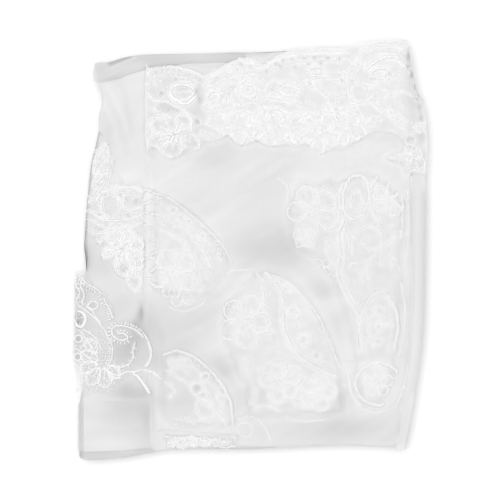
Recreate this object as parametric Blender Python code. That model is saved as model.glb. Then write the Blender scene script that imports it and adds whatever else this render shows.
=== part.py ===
"""Folded bridal veil: a packet of sheer tulle with a corded, scalloped lace border.

The packet lies flat. Its hidden layers are one solid with folded edges all round.
On it lie the cloth walls that show: the lower panel, the lace stretches at the left,
the upper panel over the inner lace, and the lace flap across the top.
Plan sizes and heights are in millimetres and become metres when a mesh is made.
"""
import math
from collections import namedtuple

import bmesh
import bpy
from mathutils import Vector
from mathutils.geometry import delaunay_2d_cdt

MM = 0.001

# Heights of the stack, from the surface it rests on
CORE_TOP = 9.6           # top of the hidden layers
SEAM = 0.3               # gap between cloths that touch
SHEET = 1.0              # wall of the lower panel and of the lace
UPPER_SHEET = 1.6        # wall of the upper panel, two layers of tulle
STRIP_SHEET = 1.0        # wall of the folded strips under their folds
FOLD_RISE = 0.6          # height of the folds in the strips
CREASE_RISE = 0.35       # height of a soft crease in a panel
INNER_LACE = 0.9         # wall of the lace that lies inside
CORD_RISE = 0.8          # height of the cords and petals on the lace
PRESSED_RISE = 0.45      # what shows of the inner cords through the upper panel
RIM = 1.5                # width of the rounded edge of each wall
RIM_DROP = 0.4           # how far a panel's rounded edge comes down
CLEAR_OF_RIM = 0.8       # least space between a cord and the rounded edge

# Plan density
EDGE_STEP = 8.0          # spacing of points along a cloth's edge
CORD_STEP = 6.5          # spacing of points along a cord
WELD = 0.35              # plan points closer than this are one point

# The hidden layers
CORE_INSET = 1.3         # from the lower panel's edge to the outermost fold
CORE_FOLDS = 5           # folds that show one over another at the edge
CORE_POINTS = 76         # points round each fold
FOLD_BULGE = 1.1         # how far a fold stands out past the groove beside it
FOLD_WANDER = 0.9        # how far the folds' edges wander from each other

# The overhang of the lower left lace past the edge of the stack: it bends along a
# line that is straight down to DROOP_TURN_Y and then leans out to DROOP_END_Y
DROOP_X = -143.4
DROOP_END_X = -149.5
DROOP_TOP_Y = -17.0
DROOP_TURN_Y = -80.0
DROOP_END_Y = -111.0
DROOP_SLOPE = 0.5

LOWER_UNDER = CORE_TOP + SEAM
LOWER_TOP = LOWER_UNDER + SHEET
FIRST_UNDER = LOWER_TOP + SEAM
UPPER_TOP = FIRST_UNDER + UPPER_SHEET
PRESS_LIFT = INNER_LACE + SEAM
FLAP_UNDER = UPPER_TOP + SEAM

TULLE = {"name": "tulle", "colour": (0.84, 0.84, 0.84), "roughness": 0.6}
FOLDED = {"name": "tulle_folded", "colour": (0.76, 0.76, 0.77), "roughness": 0.65}
LACE = {"name": "lace", "colour": (0.93, 0.93, 0.93), "roughness": 0.55}

# Edges: columns x, y and bulge, the outward bow of the stretch that ends at the row.
# Each runs counter-clockwise.
Edge = namedtuple("Edge", "x y bulge")

LOWER_PANEL_EDGE = [
    Edge(-142.0, -179.5, 1.0), Edge(-110.0, -178.0, 0.0), Edge(-86.0, -174.0, 0.0),
    Edge(-60.0, -170.5, 0.0), Edge(0.0, -170.5, 0.0), Edge(75.0, -167.5, 0.0),
    Edge(123.0, -168.5, 0.0), Edge(133.0, -171.0, 0.0), Edge(141.5, -120.0, 0.6),
    Edge(149.0, -60.0, 0.8), Edge(150.5, 45.0, 0.4), Edge(148.5, 66.0, 0.0),
    Edge(150.5, 80.0, 0.4), Edge(149.5, 117.0, 0.5), Edge(148.0, 129.0, 0.0),
    Edge(143.5, 134.5, -0.6), Edge(139.0, 157.0, 0.0), Edge(134.0, 179.0, 0.0),
    Edge(105.0, 177.5, 0.4), Edge(90.0, 175.0, 0.0), Edge(82.0, 172.0, 0.0),
    Edge(42.0, 171.5, 0.0), Edge(15.0, 169.8, 0.0), Edge(-40.0, 168.5, 0.0),
    Edge(-96.0, 167.0, 0.0), Edge(-120.0, 161.5, 0.0), Edge(-133.0, 160.0, 0.0),
    Edge(-131.5, 146.0, 0.3), Edge(-126.5, 128.5, -0.6), Edge(-129.5, 116.0, -0.8),
    Edge(-130.0, 101.0, 0.0), Edge(-136.0, 76.0, 0.0), Edge(-139.0, 50.0, 0.3),
    Edge(-142.5, 2.0, 0.5), Edge(-141.0, -16.0, 0.0), Edge(-142.0, -80.0, 0.0),
    Edge(-145.0, -124.0, 0.0), Edge(-147.0, -130.0, 0.0), Edge(-147.2, -170.0, 0.2),
]
TOP_FOLD_EDGE = [
    Edge(-131.3, 143.0, 0.0), Edge(-112.0, 145.5, 0.0), Edge(-98.0, 150.5, -0.6),
    Edge(-84.0, 155.5, 0.5), Edge(-50.0, 158.5, 0.3), Edge(-6.0, 160.0, 0.4),
    Edge(-4.0, 168.0, 0.0), Edge(-40.0, 167.5, 0.0), Edge(-95.5, 166.0, 0.0),
    Edge(-119.5, 160.5, 0.0), Edge(-131.8, 158.8, 0.0),
]
CORNER_PANEL_EDGE = [
    Edge(-141.5, -178.6, 1.0), Edge(-110.0, -177.0, 0.0), Edge(-84.5, -173.0, 0.0),
    Edge(-84.5, -128.0, 0.0), Edge(-146.2, -128.0, 0.0), Edge(-146.4, -170.0, 0.2),
]
RIGHT_FOLD_EDGE = [
    Edge(131.5, -169.6, 0.0), Edge(140.5, -120.0, 0.6), Edge(148.0, -60.0, 0.8),
    Edge(149.6, 45.0, 0.4), Edge(147.8, 64.0, 0.0), Edge(138.5, 62.0, 0.0),
    Edge(139.0, -40.0, 0.0), Edge(136.5, -90.0, 0.3), Edge(128.0, -150.0, 0.8),
    Edge(124.5, -167.6, 0.0),
]
UPPER_PANEL_EDGE = [
    Edge(-81.0, -153.0, 0.0), Edge(-76.0, -153.5, 0.0), Edge(-9.0, -158.5, -0.5),
    Edge(-7.0, -167.5, 0.0), Edge(75.0, -165.3, 0.0), Edge(123.3, -166.4, 0.0),
    Edge(126.8, -150.0, 0.0), Edge(135.3, -90.0, -0.8), Edge(137.8, -40.0, -0.3),
    Edge(137.4, 63.5, 0.0), Edge(147.0, 66.0, 0.0), Edge(149.3, 80.0, 0.4),
    Edge(148.3, 117.0, 0.5), Edge(146.8, 128.0, 0.0), Edge(142.4, 133.5, -0.6),
    Edge(138.0, 156.0, 0.0), Edge(133.0, 177.5, 0.0), Edge(105.0, 176.0, 0.4),
    Edge(90.5, 173.5, 0.0), Edge(82.0, 170.5, 0.0), Edge(42.0, 170.0, 0.0),
    Edge(15.0, 168.4, 0.0), Edge(-2.8, 168.0, 0.0), Edge(-4.8, 158.8, 0.0),
    Edge(-50.0, 157.2, -0.4), Edge(-84.0, 154.2, -0.3), Edge(-89.7, 151.5, 0.0),
    Edge(-89.7, -40.0, 0.0), Edge(-87.5, -60.0, 0.3), Edge(-82.0, -76.0, 0.0),
    Edge(-80.0, -100.0, 0.3),
]
LEFT_MIDDLE_EDGE = [
    Edge(-140.6, 13.0, 0.0), Edge(-127.0, 4.0, 0.0), Edge(-117.5, -14.0, 4.5),
    Edge(-107.0, -24.0, 3.5), Edge(-92.0, -38.0, 7.0), Edge(-90.2, -34.0, 0.0),
    Edge(-90.2, 52.0, 0.0), Edge(-106.0, 56.0, 1.5), Edge(-114.0, 68.0, 1.0),
    Edge(-117.5, 82.0, 1.5), Edge(-128.5, 100.0, 2.0), Edge(-135.0, 76.0, 0.0),
    Edge(-138.0, 50.0, 0.3),
]
LEFT_CORNER_EDGE = [
    Edge(-146.8, -126.5, 0.0), Edge(-130.0, -122.5, 1.0), Edge(-112.0, -115.0, 3.0),
    Edge(-99.0, -107.0, -1.0), Edge(-85.5, -123.0, -1.0), Edge(-82.8, -120.0, 0.5),
    Edge(-85.0, -102.0, -2.0), Edge(-87.0, -73.0, 3.4), Edge(-115.0, -61.0, 5.0),
    Edge(-120.0, -42.0, 2.0), Edge(-131.0, -30.0, 2.0), Edge(-140.5, -17.0, 1.0),
    Edge(-143.4, -17.0, 0.0), Edge(-150.0, -18.0, 0.0), Edge(-150.5, -60.0, 0.3),
    Edge(-151.5, -86.0, 0.0), Edge(-149.5, -110.0, 0.0),
]
BOTTOM_EDGE = [
    Edge(-72.0, -166.0, 0.0), Edge(-54.0, -169.5, 1.5), Edge(-34.0, -169.2, 1.2),
    Edge(-11.0, -168.0, 1.0), Edge(-10.0, -160.0, 0.0), Edge(-75.0, -156.0, 0.5),
]
FLAP_EDGE = [
    Edge(-89.5, 88.0, 0.0), Edge(-82.0, 87.0, 1.0), Edge(-53.0, 86.0, 9.0),
    Edge(-40.0, 92.0, 5.0), Edge(-19.0, 97.0, 2.0), Edge(5.0, 92.5, 6.0),
    Edge(28.0, 89.0, 2.5), Edge(48.0, 90.0, 1.5), Edge(70.0, 85.5, 6.0),
    Edge(86.0, 90.0, 3.0), Edge(97.0, 95.0, 1.0), Edge(112.0, 100.0, -2.0),
    Edge(130.0, 92.0, -2.5), Edge(129.0, 84.0, -1.0), Edge(114.5, 79.0, 0.0),
    Edge(130.5, 73.0, 1.0), Edge(131.5, 65.5, 0.5), Edge(149.5, 64.5, 1.0),
    Edge(151.5, 88.0, 0.0), Edge(149.7, 117.0, 0.4), Edge(146.5, 127.5, 0.0),
    Edge(142.6, 134.0, -0.6), Edge(138.0, 157.0, 0.0), Edge(133.5, 179.5, 0.0),
    Edge(105.0, 178.0, 0.4), Edge(90.0, 175.5, 0.0), Edge(84.0, 172.0, 0.0),
    Edge(42.0, 171.5, 0.6), Edge(12.0, 159.0, 2.5), Edge(-20.0, 158.5, 5.5),
    Edge(-39.0, 149.5, 0.5), Edge(-89.5, 153.0, 5.5),
]
INNER_LEFT_EDGE = [
    Edge(-84.5, -33.0, 0.0), Edge(-62.0, -42.0, 3.0), Edge(-36.0, -40.0, 3.0),
    Edge(-13.0, -14.0, 2.0), Edge(-34.0, 20.0, 2.0), Edge(-60.0, 42.0, 2.5),
    Edge(-84.5, 49.0, 1.5),
]
INNER_CORNER_EDGE = [
    Edge(-74.0, -148.0, 0.0), Edge(-12.0, -152.0, 0.0), Edge(-13.0, -128.0, 1.0),
    Edge(-36.0, -100.0, 3.0), Edge(-57.0, -84.0, 3.0), Edge(-75.0, -88.0, 1.0),
]
INNER_CENTRE_EDGE = [
    Edge(-4.0, -146.0, 0.0), Edge(82.0, -141.0, 1.0), Edge(80.0, -104.0, 1.0),
    Edge(64.0, -58.0, 3.0), Edge(35.0, -19.0, 3.0), Edge(6.0, -16.0, 2.0),
    Edge(-22.0, -45.0, 2.0), Edge(-24.0, -78.0, 1.5), Edge(-6.0, -118.0, 2.0),
]
INNER_RIGHT_EDGE = [
    Edge(92.0, -136.0, 0.0), Edge(114.0, -132.0, 2.0), Edge(127.0, -98.0, 2.0),
    Edge(130.0, -30.0, 1.0), Edge(132.0, 40.0, 1.0), Edge(108.0, 66.0, 3.0),
    Edge(80.0, 62.0, 3.0), Edge(40.0, 62.0, -1.0), Edge(30.0, 36.0, 1.0),
    Edge(34.0, 4.0, 1.0), Edge(60.0, -12.0, 1.0), Edge(78.0, -60.0, -2.0),
]

# Cord: a ridge along points, closed or open, of a half width and a height.
# A filled one keeps that share of its height inside its loop.
Cord = namedtuple("Cord", "points closed half_width rise fill")
OPEN_CORD = 1.5          # half width of a cord that runs along a line
RING_CORD = 1.3          # half width of the cord round a ring, an oval or a leaf
PETAL_CORD = 1.6         # half width of the cord round a petal
PETAL_FILL = 0.35        # share of the height kept inside a petal or a leaf

# Lace motifs: a place in the plan, sizes in millimetres and turns in degrees
Flower = namedtuple("Flower", "x y radius turn petals", defaults=(5,))
Leaf = namedtuple("Leaf", "x y length turn")
Oval = namedtuple("Oval", "x y radius_x radius_y turn", defaults=(0.0,))
Ring = namedtuple("Ring", "x y radius")
Curl = namedtuple("Curl", "x y radius start turns")
Line = namedtuple("Line", "knots")

LEFT_MIDDLE_MOTIFS = [
    Leaf(-131.0, 70.0, 20.0, 68.0), Leaf(-133.0, 56.0, 18.0, 42.0),
    Oval(-120.0, 39.0, 8.5, 11.5, 8.0), Ring(-97.0, 40.0, 3.4),
    Line(((-130.0, 47.0), (-112.0, 53.0), (-95.0, 49.0))),
    Line(((-136.0, 26.0), (-115.0, 27.0), (-94.0, 33.0))),
    Flower(-111.0, 3.0, 20.0, 62.0), Leaf(-98.0, -12.0, 22.0, -86.0),
]
LEFT_CORNER_MOTIFS = [
    Line(((-137.0, -26.0), (-126.0, -38.0), (-119.0, -52.0))),
    Ring(-133.0, -47.0, 4.0), Oval(-144.0, -58.0, 4.2, 6.0, -10.0),
    Ring(-144.0, -77.0, 4.0), Ring(-144.0, -93.0, 3.6),
    Line(((-138.0, -52.0), (-124.0, -68.0), (-118.5, -84.0), (-119.0, -97.0))),
    Line(((-113.0, -84.0), (-116.0, -68.0), (-100.0, -65.0), (-89.0, -78.0),
          (-86.5, -92.0), (-96.0, -101.0), (-112.0, -103.0))),
    Curl(-107.0, -75.0, 6.5, 200.0, 0.9),
    Flower(-130.0, -100.0, 15.5, 80.0), Leaf(-100.0, -105.5, 15.0, -47.0),
]
BOTTOM_EDGE_MOTIFS = [
    Leaf(-64.0, -163.2, 13.0, 12.0), Leaf(-47.0, -163.2, 13.0, -8.0),
    Leaf(-30.0, -163.2, 13.0, 10.0),
]
FLAP_MOTIFS = [
    Flower(-66.0, 97.5, 20.0, 58.0), Flower(-10.0, 102.0, 13.0, 76.0),
    Flower(20.0, 104.0, 14.5, 92.0), Flower(59.0, 97.0, 15.0, 98.0),
    Flower(83.0, 104.0, 11.5, 60.0), Flower(139.5, 86.0, 12.0, 88.0),
    Leaf(132.0, 76.5, 16.0, 171.0), Leaf(125.0, 104.0, 14.0, 118.0),
    Oval(-58.0, 132.5, 9.5, 6.0, 8.0), Ring(-75.0, 133.0, 3.4),
    Line(((-84.0, 126.0), (-64.0, 121.0), (-51.0, 112.0))),
    Line(((-84.0, 147.0), (-66.0, 150.5), (-46.0, 144.0), (-43.0, 126.0))),
    Line(((-32.0, 146.0), (-24.0, 155.0), (-8.0, 160.0), (6.0, 154.0))),
    Ring(-18.5, 152.0, 3.8), Oval(33.0, 135.0, 9.0, 5.0, -8.0),
    Line(((-36.0, 128.0), (-6.0, 141.0), (28.0, 146.0), (62.0, 132.0), (72.0, 112.0))),
    Line(((16.0, 156.0), (36.0, 165.0), (60.0, 166.5), (80.0, 163.0))),
    Line(((92.0, 118.0), (84.0, 140.0), (92.0, 162.0), (108.0, 171.0), (126.0, 171.0))),
    Line(((98.0, 150.0), (112.0, 160.0), (128.0, 160.0), (133.0, 150.0))),
    Line(((84.0, 124.0), (104.0, 124.0), (120.0, 116.0), (133.0, 112.0))),
    Ring(28.0, 157.5, 2.6), Ring(44.0, 159.0, 2.6), Ring(60.0, 159.0, 2.6),
    Ring(76.0, 155.0, 2.6),
]
# The inner lace where it shows through the upper panel
PRESSED_MOTIFS = [
    Line(((-83.0, 43.0), (-62.0, 36.0), (-38.0, 16.0), (-20.0, -8.0))),
    Line(((-82.0, 30.0), (-60.0, 22.0), (-42.0, 4.0))),
    Flower(-66.0, -20.0, 17.0, 40.0), Ring(-52.0, 20.0, 3.0),
    Line(((-73.0, -93.0), (-56.0, -90.0), (-38.0, -108.0), (-22.0, -132.0),
          (-18.0, -148.0))),
    Ring(-55.0, -101.0, 3.2), Ring(-43.0, -117.0, 4.6), Ring(-35.0, -133.0, 3.2),
    Line(((-72.0, -106.0), (-62.0, -108.0), (-57.0, -120.0), (-66.0, -126.0))),
    Flower(-6.0, -61.0, 17.0, 84.0), Flower(40.0, -128.0, 12.0, 30.0),
    Line(((14.0, -26.0), (24.0, -52.0), (34.0, -88.0), (58.0, -114.0), (72.0, -118.0))),
    Line(((30.0, -26.0), (52.0, -52.0), (66.0, -84.0), (72.0, -104.0))),
    Ring(37.0, -55.0, 3.0), Ring(47.0, -76.0, 3.0), Ring(60.0, -92.0, 3.0),
    Flower(53.0, 31.0, 19.0, 100.0), Leaf(42.0, 48.0, 14.0, 70.0),
    Oval(91.0, 42.0, 10.0, 19.0, -14.0), Flower(119.0, 34.0, 12.5, 70.0),
    Line(((76.0, 14.0), (86.0, -8.0), (84.0, -32.0), (92.0, -52.0))),
    Curl(108.0, 6.0, 9.0, 150.0, 0.9),
    Line(((98.0, -88.0), (96.0, -60.0), (106.0, -36.0), (120.0, -30.0),
          (124.0, -58.0), (120.0, -84.0))),
    Ring(109.0, -52.0, 3.2), Ring(112.0, -68.0, 3.2),
    Flower(110.0, -112.0, 18.0, 90.0, 6),
]

# Soft folds of the plain cloth: the way they run, their height and half width
Fold = namedtuple("Fold", "knots rise half_width")

TOP_FOLDS = [
    Fold(((-128.0, 154.0), (-108.0, 158.5), (-80.0, 163.0), (-10.0, 165.0)),
         FOLD_RISE, 2.2),
    Fold(((-127.0, 148.0), (-108.0, 152.0), (-84.0, 159.0), (-40.0, 161.5)),
         FOLD_RISE, 2.2),
]
RIGHT_FOLDS = [
    Fold(((134.5, -160.0), (142.5, -90.0), (146.0, -40.0), (146.6, 58.0)),
         FOLD_RISE, 1.6),
    Fold(((129.5, -163.0), (139.5, -88.0), (142.2, -40.0), (142.4, 58.0)),
         FOLD_RISE * 0.8, 1.6),
]
CORNER_FOLDS = [
    Fold(((-140.0, -153.0), (-115.0, -153.8), (-90.0, -152.0)), CREASE_RISE, 2.6),
    Fold(((-140.0, -161.0), (-114.0, -161.8), (-88.0, -160.0)), CREASE_RISE, 2.6),
    Fold(((-138.0, -169.0), (-113.0, -169.8), (-88.0, -168.0)), CREASE_RISE, 2.6),
    Fold(((-124.0, -131.0), (-106.0, -139.0), (-96.0, -148.0)), CREASE_RISE, 2.6),
]
LOWER_PANEL_FOLDS = [
    Fold(((-122.0, 136.0), (-108.0, 118.0), (-100.0, 96.0)), CREASE_RISE * 0.6, 4.0),
    Fold(((-112.0, 140.0), (-98.0, 128.0), (-94.0, 104.0)), CREASE_RISE * 0.6, 4.0),
]
FOLD_STEP = 12.0         # spacing of points along a soft fold


def start_empty_scene():
    for item in list(bpy.data.objects):
        bpy.data.objects.remove(item, do_unlink=True)


# --- curves in plan ---

def along(a, b, bulge, step):
    """Points from a up to b, not b itself, bowed to the right of the way."""
    way = b - a
    count = max(1, round(way.length / step))
    out = Vector((way.y, -way.x)).normalized()
    places = [i / count for i in range(count)]
    return [a + way * t + out * (4.0 * bulge * t * (1.0 - t)) for t in places]


def edge_loop(rows, step=EDGE_STEP):
    points = []
    for row, following in zip(rows, rows[1:] + rows[:1]):
        a = Vector((row.x, row.y))
        b = Vector((following.x, following.y))
        fine_step = step if abs(following.bulge) < 2.0 else step * 0.7
        points += along(a, b, following.bulge, fine_step)
    return points


def smooth_line(knots, step=CORD_STEP):
    """A Catmull-Rom curve through the knots."""
    knots = [Vector(k) for k in knots]
    padded = [knots[0] * 2 - knots[1]] + knots + [knots[-1] * 2 - knots[-2]]
    points = []
    for before, a, b, after in zip(padded, padded[1:], padded[2:], padded[3:]):
        count = max(1, round((b - a).length / step))
        for i in range(count):
            t = i / count
            points.append(0.5 * (2 * a + (b - before) * t
                                 + (2 * before - 5 * a + 4 * b - after) * t ** 2
                                 + (3 * a - 3 * b + after - before) * t ** 3))
    return points + [knots[-1]]


def offset_line(points, closed, distance):
    """The line moved to its left, on the mean of the normals at each point."""
    moved = []
    last = len(points) - 1
    for i, point in enumerate(points):
        before = points[i - 1] if closed or i > 0 else point
        after = points[(i + 1) % len(points)] if closed or i < last else point
        way = after - before
        normal = Vector((-way.y, way.x)).normalized()
        moved.append(point + normal * distance)
    return moved


def distance_to(point, points, closed):
    ends = points[1:] + points[:1] if closed else points[1:]
    least = 1e9
    for a, b in zip(points, ends):
        way = b - a
        share = max(0.0, min(1.0, (point - a).dot(way) / max(way.length_squared, 1e-9)))
        least = min(least, (a + way * share - point).length)
    return least


def is_inside(point, loop):
    inside = False
    for a, b in zip(loop, loop[1:] + loop[:1]):
        if (a.y > point.y) != (b.y > point.y):
            if point.x < a.x + (point.y - a.y) / (b.y - a.y) * (b.x - a.x):
                inside = not inside
    return inside


# --- lace motifs ---

def turned(x, y, ahead, aside, degrees):
    lean = math.radians(degrees)
    return Vector((x + ahead * math.cos(lean) - aside * math.sin(lean),
                   y + ahead * math.sin(lean) + aside * math.cos(lean)))


def oval_points(oval):
    count = max(6, round(math.pi * (oval.radius_x + oval.radius_y) / CORD_STEP))
    angles = [math.tau * i / count for i in range(count)]
    return [turned(oval.x, oval.y, oval.radius_x * math.cos(angle),
                   oval.radius_y * math.sin(angle), oval.turn) for angle in angles]


def oval_cords(oval, rise):
    return [Cord(oval_points(oval), True, RING_CORD, rise, 0.0)]


def ring_cords(ring, rise):
    return oval_cords(Oval(ring.x, ring.y, ring.radius, ring.radius), rise)


def flower_cords(flower, rise):
    """Rounded petals round a small ring."""
    radius = flower.radius
    parts = ring_cords(Ring(flower.x, flower.y, radius * 0.17), rise)
    for i in range(flower.petals):
        turn = flower.turn + 360.0 * i / flower.petals
        middle = turned(flower.x, flower.y, radius * 0.60, 0.0, turn)
        petal = Oval(middle.x, middle.y, radius * 0.36, radius * 0.29, turn)
        parts.append(Cord(oval_points(petal), True, PETAL_CORD, rise, PETAL_FILL))
    return parts


def leaf_cords(leaf, rise):
    """A pointed loop from its stem."""
    profile = ((0.0, 0.0), (0.28, 0.17), (0.62, 0.19), (1.0, 0.0),
               (0.62, -0.19), (0.28, -0.17))
    points = [turned(leaf.x, leaf.y, leaf.length * ahead, leaf.length * aside, leaf.turn)
              for ahead, aside in profile]
    return [Cord(points, True, RING_CORD, rise, PETAL_FILL)]


def curl_cords(curl, rise):
    """A spiral that winds in towards its middle."""
    length = abs(curl.turns) * math.tau * curl.radius * 0.7
    steps = max(6, round(length / CORD_STEP))
    points = []
    for i in range(steps + 1):
        share = i / steps
        turn = curl.start + 360.0 * curl.turns * share
        points.append(turned(curl.x, curl.y, curl.radius * (1.0 - 0.68 * share), 0.0, turn))
    return [Cord(points, False, OPEN_CORD, rise, 0.0)]


def line_cords(line, rise):
    return [Cord(smooth_line(line.knots), False, OPEN_CORD, rise, 0.0)]


CORDS_OF = {
    Flower: flower_cords,
    Leaf: leaf_cords,
    Oval: oval_cords,
    Ring: ring_cords,
    Curl: curl_cords,
    Line: line_cords,
}


def motif_cords(motifs, rise=CORD_RISE):
    parts = []
    for motif in motifs:
        parts += CORDS_OF[type(motif)](motif, rise)
    return parts


def fold_cords(folds):
    return [Cord(smooth_line(fold.knots, FOLD_STEP), False, fold.half_width, fold.rise, 0.0)
            for fold in folds]


# --- walls ---

def rim_ring(outline):
    return offset_line(outline, True, RIM)


def clear_stretches(points, closed, outline):
    """The stretches of a line that keep clear of the wall's rounded edge."""
    least = RIM + CLEAR_OF_RIM
    kept = [is_inside(p, outline) and distance_to(p, outline, True) >= least
            for p in points]
    if closed and all(kept):
        return [(points, True)]
    stretches = []
    run = []
    looped = zip(points + points[:1], kept + kept[:1]) if closed else zip(points, kept)
    for point, keep in looped:
        if keep:
            run.append(point)
        elif run:
            stretches.append((run, False))
            run = []
    if run:
        stretches.append((run, False))
    return stretches


def guide_lines(cords, outline):
    """The plan lines that carry each cord: its middle and its two feet."""
    lines = []
    for part in cords:
        sides = [0.0, -part.half_width]
        if part.fill == 0.0:
            sides.append(part.half_width)
        for side in sides:
            line = offset_line(part.points, part.closed, side) if side else part.points
            lines += clear_stretches(line, part.closed, outline)
        if part.closed:
            middle = sum(part.points, Vector((0.0, 0.0))) / len(part.points)
            lines += clear_stretches([middle], False, outline)
    return lines


def relief(point, cords):
    """How far the cords raise the cloth at a point."""
    most = 0.0
    for part in cords:
        reach = part.half_width + 0.01
        xs = [p.x for p in part.points]
        ys = [p.y for p in part.points]
        if not (min(xs) - reach < point.x < max(xs) + reach
                and min(ys) - reach < point.y < max(ys) + reach):
            continue
        share = max(0.0, 1.0 - distance_to(point, part.points, part.closed) / reach)
        if part.fill and is_inside(point, part.points):
            share = max(share, part.fill)
        most = max(most, share * part.rise)
    return most


def plan_mesh(outline, lines):
    """Triangles inside the outline, with the lines among their edges."""
    points = list(outline)
    count = len(outline)
    edges = []
    for line, closed in lines:
        first = len(points)
        points += line
        edges += [(i, i + 1) for i in range(first, len(points) - 1)]
        if closed:
            edges.append((len(points) - 1, first))
    result = delaunay_2d_cdt(points, edges, [list(range(count))], 1, WELD)
    return result[0], result[2]


def wall(name, look, rows, under, top, cords=(), lines=(), rim_lift=-RIM_DROP):
    """A closed cloth wall: under and top give its two heights at a point of the plan."""
    outline = edge_loop(rows)
    ring_line = [(rim_ring(outline), True)]
    top_plan = plan_mesh(outline, ring_line + guide_lines(cords, outline) + list(lines))
    under_plan = plan_mesh(outline, list(lines))
    bm = bmesh.new()
    corners = {}
    for plan, upper in ((top_plan, True), (under_plan, False)):
        made = []
        for point in plan[0]:
            to_edge = distance_to(point, outline, True)
            z = under(point)
            if upper:
                at_rim = 1.0 if to_edge < RIM * 0.4 else 0.0
                z = top(point) + relief(point, cords) + at_rim * rim_lift
            vert = bm.verts.new((point.x * MM, point.y * MM, z * MM))
            made.append(vert)
            if to_edge < WELD * 0.1:
                corners[(round(point.x, 2), round(point.y, 2), upper)] = vert
        for face in plan[1]:
            order = face if upper else reversed(face)
            bm.faces.new([made[i] for i in order])
    for a, b in zip(outline, outline[1:] + outline[:1]):
        a_key = (round(a.x, 2), round(a.y, 2))
        b_key = (round(b.x, 2), round(b.y, 2))
        bm.faces.new((corners[a_key + (False,)], corners[b_key + (False,)],
                      corners[b_key + (True,)], corners[a_key + (True,)]))
    bmesh.ops.triangulate(bm, faces=bm.faces[:])
    return finish_mesh(name, look, bm)


def finish_mesh(name, look, bm):
    bm.verts.ensure_lookup_table()
    loose = [v for v in bm.verts if not v.link_faces]
    bmesh.ops.delete(bm, geom=loose, context="VERTS")
    mesh = bpy.data.meshes.new(name)
    bm.to_mesh(mesh)
    bm.free()
    mesh.shade_smooth()
    mesh.set_sharp_from_angle(angle=math.radians(35.0))
    item = bpy.data.objects.new(name, mesh)
    bpy.context.scene.collection.objects.link(item)
    mesh.materials.append(make_material(name, look))
    return item


def make_material(name, look):
    material = bpy.data.materials.new(look["name"] + "_" + name)
    material.use_nodes = True
    shader = material.node_tree.nodes["Principled BSDF"]
    shader.inputs["Base Color"].default_value = (*look["colour"], 1.0)
    shader.inputs["Roughness"].default_value = look["roughness"]
    shader.inputs["Metallic"].default_value = 0.0
    material.diffuse_color = (*look["colour"], 1.0)
    return material


# --- the hidden layers ---

def even_points(loop, count):
    """Points spread evenly along a closed loop."""
    lengths = [(b - a).length for a, b in zip(loop, loop[1:] + loop[:1])]
    total = sum(lengths)
    points = []
    i = 0
    gone = 0.0
    for k in range(count):
        wanted = total * k / count
        while gone + lengths[i] < wanted:
            gone += lengths[i]
            i += 1
        a = loop[i]
        b = loop[(i + 1) % len(loop)]
        points.append(a + (b - a) * ((wanted - gone) / lengths[i]))
    return points


def fold_rings():
    """Heights and insets of the rings up the edge: a groove, then a bulge, for each fold."""
    fold = CORE_TOP / CORE_FOLDS
    rings = []
    for k in range(CORE_FOLDS):
        foot = k * fold
        rings.append((k, foot + (0.0 if k == 0 else 0.12 * fold), FOLD_BULGE))
        rings.append((k, foot + 0.38 * fold, 0.0))
        rings.append((k, foot + 0.74 * fold, 0.15 * FOLD_BULGE))
    rings.append((CORE_FOLDS - 1, CORE_TOP, FOLD_BULGE * 1.6))
    return rings


def folded_core():
    outline = even_points(offset_line(edge_loop(LOWER_PANEL_EDGE, 3.0), True, CORE_INSET),
                          CORE_POINTS)
    bm = bmesh.new()
    loops = []
    for k, z, inset in fold_rings():
        loop = []
        for i, point in enumerate(outline):
            angle = math.tau * i / CORE_POINTS
            wander = FOLD_WANDER * math.sin(angle * (2 + k % 3) + 1.7 * k)
            inward = offset_line(outline, True, inset + FOLD_WANDER + wander)[i]
            loop.append(bm.verts.new((inward.x * MM, inward.y * MM, z * MM)))
        loops.append(loop)
    for lower, upper in zip(loops, loops[1:]):
        for i in range(CORE_POINTS):
            j = (i + 1) % CORE_POINTS
            bm.faces.new((lower[i], lower[j], upper[j], upper[i]))
    bm.faces.new(list(reversed(loops[0])))
    bm.faces.new(loops[-1])
    bmesh.ops.triangulate(bm, faces=bm.faces[:])
    return finish_mesh("folded_core", FOLDED, bm)


# --- heights of the laid cloths ---

def flat(z):
    return lambda point: z


def bend_x(y):
    """Where the overhanging lace starts to fall, at a place along the edge."""
    share = (DROOP_TURN_Y - y) / (DROOP_TURN_Y - DROOP_END_Y)
    return DROOP_X + (DROOP_END_X - DROOP_X) * max(0.0, share)


def droop(z):
    """Level on the stack, then falling where the lace hangs past its edge."""
    return lambda point: z - DROOP_SLOPE * max(0.0, bend_x(point.y) - point.x)


def bend_line():
    places = (DROOP_TOP_Y, -30.0, -45.0, -60.0, DROOP_TURN_Y, -95.0, DROOP_END_Y)
    points = [Vector((bend_x(y), y)) for y in places]
    return clear_stretches(points, False, edge_loop(LEFT_CORNER_EDGE))


INNER_PIECES = {
    "lace_inner_left": INNER_LEFT_EDGE,
    "lace_inner_corner": INNER_CORNER_EDGE,
    "lace_inner_centre": INNER_CENTRE_EDGE,
    "lace_inner_right": INNER_RIGHT_EDGE,
}
NEAR_LACE = 1.2          # the upper panel is fully raised this near to the inner lace
FAR_FROM_LACE = 3.4      # and lies on the lower panel this far from it


def press_lift(point, loops):
    """How far the inner lace raises the upper panel at a point."""
    least = FAR_FROM_LACE
    for loop in loops:
        if is_inside(point, loop):
            return PRESS_LIFT
        least = min(least, distance_to(point, loop, True))
    share = (FAR_FROM_LACE - least) / (FAR_FROM_LACE - NEAR_LACE)
    return PRESS_LIFT * max(0.0, min(1.0, share))


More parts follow.
